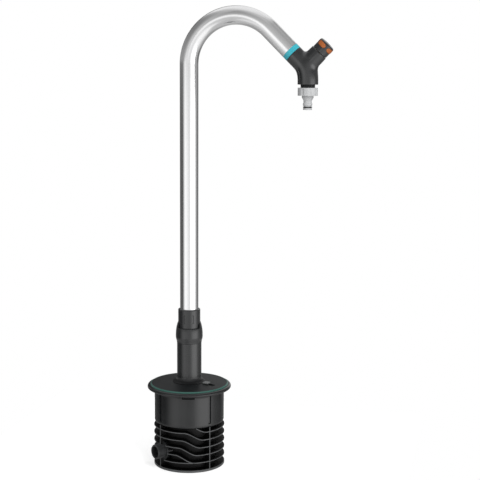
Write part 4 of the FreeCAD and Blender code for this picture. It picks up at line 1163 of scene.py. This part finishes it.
def on_branch(field, cell):
    """A net of a field in the knob's frame, with +Z out along the branch, carried there."""
    reach = knob_radius + 1.3
    points, quads = netted(field, (-reach, -reach, knob_start - 1.2),
                           (reach, reach, knob_end + 2.4), cell)
    points = carried(points, branch_base, branch_along, level_across)
    return faced(points / 1000, quads, 34.0)


piece("knob_cup", on_branch(knob_field, cell=0.42), head_plastic, "head_plastic", "knob",
      body="knob")
orange = moulded("orange_grip", (156, 85, 38), (171, 98, 50), 0.5, grain=0.3)
piece("knob_inlays", on_branch(grip_field, cell=0.38), orange, "orange_grip", "knob_grips",
      body="knob")

# The tap adapter: nut and quick-coupling nipple in one light grey moulding. Eight broad ribs
# stand round the nut, between cylindrical hollows.
grey_plastic = moulded("grey_plastic", (172, 173, 174), (186, 187, 188), 0.36, grain=0.1)
nipple_tip, adapter_top = extent("tap_adapter")[:, 2]
adapter_under = adapter_top - 13.7
adapter_bore = 5.0
adapter_radius = 17.4
adapter_thread = 13.15
adapter_floor = neck_bottom - 2.0
rim_start = adapter_top - 1.6
ridge_top = adapter_under - 3.2
ridge_radius = 10.2
nipple_radius = 7.9
ring_seat = 6.3
ring_place = adapter_under - 18.1
ring_room = 3.4
shaft_radius = 7.5
collar_radius = 8.15
collar_high = adapter_under - 12.7
collar_low = collar_high - 3.6
waist_radius = 7.2
rib_count = 8
hollow_radius = 5.9
hollow_depth = 0.9
adapter_outline = np.concatenate([
    rounded([(adapter_bore, nipple_tip), (nipple_radius, nipple_tip, 0.7),
             (nipple_radius, ring_place - ring_room, 0.2), (ring_seat, ring_place - ring_room),
             (ring_seat, ring_place), (nipple_radius, ring_place, 0.2),
             (nipple_radius, ring_place + 0.8), (shaft_radius, ring_place + 0.8),
             (shaft_radius, collar_low), (collar_radius, collar_low, 0.3),
             (collar_radius, collar_high, 0.4), (waist_radius, collar_high + 0.3),
             (waist_radius, adapter_under - 8.4, 1.5), (ridge_radius, ridge_top, 1.2),
             (ridge_radius, adapter_under)], 6)[1:-1],
    rounded([(ridge_radius, adapter_under), (adapter_radius, adapter_under, 0.5),
             (adapter_radius, adapter_under + 2.0)], 5)[:-1],
    upright(adapter_radius, finely(adapter_under + 1.0, adapter_top - 3.0, 2.0)),
    upright(adapter_radius, [rim_start - 0.4, rim_start, rim_start + 0.05]),
    rounded([(adapter_radius, rim_start + 0.1), (adapter_radius, adapter_top, 0.5),
             (adapter_thread, adapter_top, 0.3), (adapter_thread, adapter_floor),
             (adapter_bore, adapter_floor)], 5)[1:]])


def adapter_surface():
    """The outline carried round, and drawn in to the hollows' circles round the nut: on a ray
    at an angle t from a hollow's centre at far, the circle lies at
    far cos t - sqrt(r^2 - far^2 sin^2 t)."""
    angles = around(192)
    far = adapter_radius + hollow_radius - hollow_depth
    tilt = np.radians(angles % (360.0 / rib_count) - 180.0 / rib_count)
    aside = far * np.sin(tilt)
    reach = far * np.cos(tilt) - np.sqrt(np.maximum(hollow_radius ** 2 - aside ** 2, 0))
    radius = adapter_outline[:, :1] + 0 * angles
    sides = (radius > adapter_radius - 1.4) & (adapter_outline[:, 1:] < rim_start + 0.02)
    inside = np.abs(aside) < hollow_radius
    share = np.where(sides & inside, np.minimum(radius, reach), radius) / radius
    return turned(adapter_outline, angles) * np.stack([share, share, 1 + 0 * share], -1)


piece("adapter", mesh(adapter_surface() + outlet_place), grey_plastic, "grey_plastic",
      "tap_adapter")

# Rubber: the nipple's O-ring, which shows, and the seals inside.
seal_rubber = moulded("seal_rubber", (8, 8, 9), (14, 14, 15), 0.45, grain=0.2)
cord_radius = 0.875
seal_radius = 8.1
cord_turn = np.linspace(0, 2 * math.pi, 24, endpoint=False)
cord_outline = np.stack([seal_radius - cord_radius + cord_radius * np.cos(cord_turn),
                         ring_place - ring_room / 2 + cord_radius * np.sin(cord_turn)], -1)
piece("nipple_seal", mesh(turned(cord_outline, around(96)) + outlet_place), seal_rubber,
      "seal_rubber", "nipple_o_ring")
refinish(seal_rubber, "inlet_o_ring", "stop_seal", "riser_o_rings", "riser_gasket",
         "tube_o_rings", "insert_o_rings", "seat_washer", "spindle_o_ring", "adapter_washer")

# The rest inside: structural plastic, steel springs and screws, the brass cartridge with its
# spindle and the ceramic discs.
refinish(box_plastic, "valve_socket", "inlet_lock_nut")
refinish(lid_plastic, "latch_keeper")
refinish(column_plastic, "riser_pipe", "tube_plug", "spout_insert")
refinish(head_plastic, "knob_cap")
acetal = moulded("acetal", (206, 205, 200), (226, 225, 220), 0.36, grain=0.2)
refinish(acetal, "stop_plunger", "clamp_ring")


def metal(name, dark, light, satin):
    """Turned or drawn metal: fine rings across its axis, with small spots of tarnish."""
    finish = Finish(name, Metallic=1.0)
    lines = finish.noise(1.0, 2.0, 0.6, finish.stretched((40.0, 40.0, 6000.0)))
    spots = finish.between(finish.noise(420.0, 4.0, 0.6), 0.55, 0.7)
    tone = finish.between(lines, 0.35, 0.65) * 0.7 + spots * 0.3
    return finish.wear(
        Base_Color=finish.mixed(tone, light, dark), Roughness=satin + spots * 0.12,
        Normal=finish.bumped(lines, 0.1, 0.00005))


refinish(metal("steel", (0.42, 0.42, 0.43, 1.0), (0.6, 0.6, 0.6, 1.0), 0.25),
         "socket_screws", "stop_spring", "keeper_screws", "latch_springs", "knob_screw")
refinish(metal("brass", (0.5, 0.33, 0.13, 1.0), (0.75, 0.54, 0.25, 1.0), 0.24),
         "valve_cartridge", "spindle")
refinish(moulded("ceramic", (222, 220, 212), (240, 238, 232), 0.16, grain=0.05),
         "fixed_disc", "turning_disc")

# The studio: a white floor that keeps the tap's shadow, two soft boxes, and a surround of light
# walls at the front and dark ones at the sides and behind, which give the metal its bands.
floor_size = 0.4
floor_mesh = bpy.data.meshes.new("floor")
floor_mesh.from_pydata([(-floor_size, -floor_size, 0), (floor_size, -floor_size, 0),
                        (floor_size, floor_size, 0), (-floor_size, floor_size, 0)],
                       [], [(0, 1, 2, 3)])
floor = bpy.data.objects.new("floor", floor_mesh)
bpy.context.scene.collection.objects.link(floor)
floor.visible_glossy = False
black = (0.0, 0.0, 0.0, 1.0)
white = (1.0, 1.0, 1.0, 1.0)
paper = Finish("studio_floor", Roughness=0.9, Emission_Strength=0.55)
fibres = paper.between(paper.noise(60.0, 4.0), 0.3, 0.7)
seen = paper.node("ShaderNodeLightPath", {}, {}, "Is Camera Ray")
floor_mesh.materials.append(paper.wear(
    Base_Color=paper.mixed(fibres, (0.76, 0.76, 0.76, 1.0), (0.8, 0.8, 0.8, 1.0)),
    Emission_Color=paper.mixed(seen, black, white)))

sky = bpy.data.worlds.new("studio")
bpy.context.scene.world = sky
sky.use_nodes = True
sky_tree = sky.node_tree
background = sky_tree.nodes["Background"]


class Surround(Finish):
    """The same arithmetic with signals for the world's nodes."""

    def __init__(self, tree):
        self.tree = tree
        self.place = self.node("ShaderNodeTexCoord", {}, {}, "Generated")

    def along(self, direction):
        """How far the view runs in a direction, from -1 to 1."""
        return self.node("ShaderNodeVectorMath", {"operation": "DOT_PRODUCT"},
                         {0: self.place, 1: tuple(direction)}, "Value")

    def greys(self, place, *stops):
        """Brightness that runs through (place, brightness) stops."""
        return self.node("ShaderNodeValToRGB",
                         {"stops": [(at, (grey, grey, grey)) for at, grey in stops]},
                         {0: place})


# The surround by bearing, which runs from 0 behind the tap over 0.25 on the left, 0.5 at the
# front and 0.75 on the right: the walls level with the tap, the ground, and the ceiling's share.
world = Surround(sky_tree)
toward = world.along(-ahead)
sideways = world.along(beside)
bearing = toward.math("ARCTAN2", sideways, toward) * (0.5 / math.pi) + 0.5
rise = world.node("ShaderNodeSeparateXYZ", {}, {0: world.place}, "Z")
walls = world.greys(
    bearing, (0.0, 0.26), (0.1, 0.14), (0.2, 0.1), (0.27, 0.08), (0.3, 0.4), (0.34, 1.05),
    (0.39, 1.3), (0.43, 1.06), (0.46, 1.1), (0.49, 0.87), (0.53, 0.9), (0.555, 1.2),
    (0.58, 1.9), (0.61, 2.4), (0.67, 2.4), (0.7, 2.0), (0.75, 0.62), (0.8, 0.32),
    (0.85, 0.13), (1.0, 0.4))
ground = world.greys(
    bearing, (0.0, 0.5), (0.055, 0.4), (0.11, 0.37), (0.18, 0.37), (0.25, 0.51), (0.31, 0.71),
    (0.353, 0.92), (0.375, 0.85), (0.4, 0.63), (0.43, 0.6), (0.467, 0.66), (0.486, 0.73),
    (0.508, 1.0), (0.555, 1.13), (0.603, 1.18), (0.667, 1.06), (0.747, 0.74), (0.833, 0.38),
    (0.917, 0.36), (1.0, 0.5))
share = world.greys(
    bearing, (0.0, 1.0), (0.083, 0.75), (0.264, 0.73), (0.32, 0.9), (0.364, 1.3), (0.394, 1.5),
    (0.417, 1.05), (0.43, 1.0), (0.45, 1.2), (0.475, 1.4), (0.506, 1.5), (0.539, 1.5),
    (0.586, 1.1), (0.65, 0.77), (0.917, 0.76), (1.0, 1.0))
ceiling = world.greys(
    rise, (0.0, 0.52), (0.07, 0.5), (0.22, 0.43), (0.31, 0.38), (0.5, 0.32), (0.62, 0.33),
    (0.73, 0.4), (0.82, 0.5), (0.89, 0.68), (0.97, 0.88), (1.0, 0.9))
overhead = world.between(rise, 0.7, 0.88)
canopy = ceiling * (share + overhead * (1.0 - share))
dim_back = world.between(sideways, -0.1, 0.15, 0.05, 0.85)
back_wall = dim_back + world.between(rise, 0.45, 0.65) * (0.95 - dim_back)
straight_back = world.between(sideways * sideways, 0.2, 0.32, 1.0, 0.0)
behind = straight_back * world.between(toward, -0.2, 0.0, 1.0, 0.0)
above = canopy + behind * (back_wall - canopy)
below = ground + world.between(rise, -0.9, -0.8, 1.0, 0.0) * (0.58 - ground)
abreast = world.between(rise, -0.4, -0.3) * world.between(rise, -0.01, 0.06, 1.0, 0.0)
surround = (below + world.between(rise, -0.05, 0.05) * (above - below)) * (1.0 - abreast)
surround = surround + abreast * walls
seen_sky = world.node("ShaderNodeLightPath", {}, {}, "Is Camera Ray")
sky_tree.links.new(world.mixed(seen_sky, surround, white).socket, background.inputs["Color"])
background.inputs["Strength"].default_value = 1.0


def lamp(name, place, size, watts):
    """A square soft box that looks at the tap. Only the surround shows in the gloss."""
    aim = Vector((0.0, 0.0, 0.3))
    data = bpy.data.lights.new(name, "AREA")
    data.shape = "SQUARE"
    data.size = size
    data.energy = watts
    thing = bpy.data.objects.new(name, data)
    thing.location = place
    thing.rotation_mode = "QUATERNION"
    thing.rotation_quaternion = (aim - Vector(place)).to_track_quat("-Z", "Y")
    thing.visible_glossy = False
    bpy.context.scene.collection.objects.link(thing)


lamp("key", (1.5, -1.5, 1.9), size=1.1, watts=32.0)
lamp("fill", (-0.9, -1.9, 1.5), size=1.1, watts=5.0)

bpy.context.scene.view_settings.view_transform = "Standard"
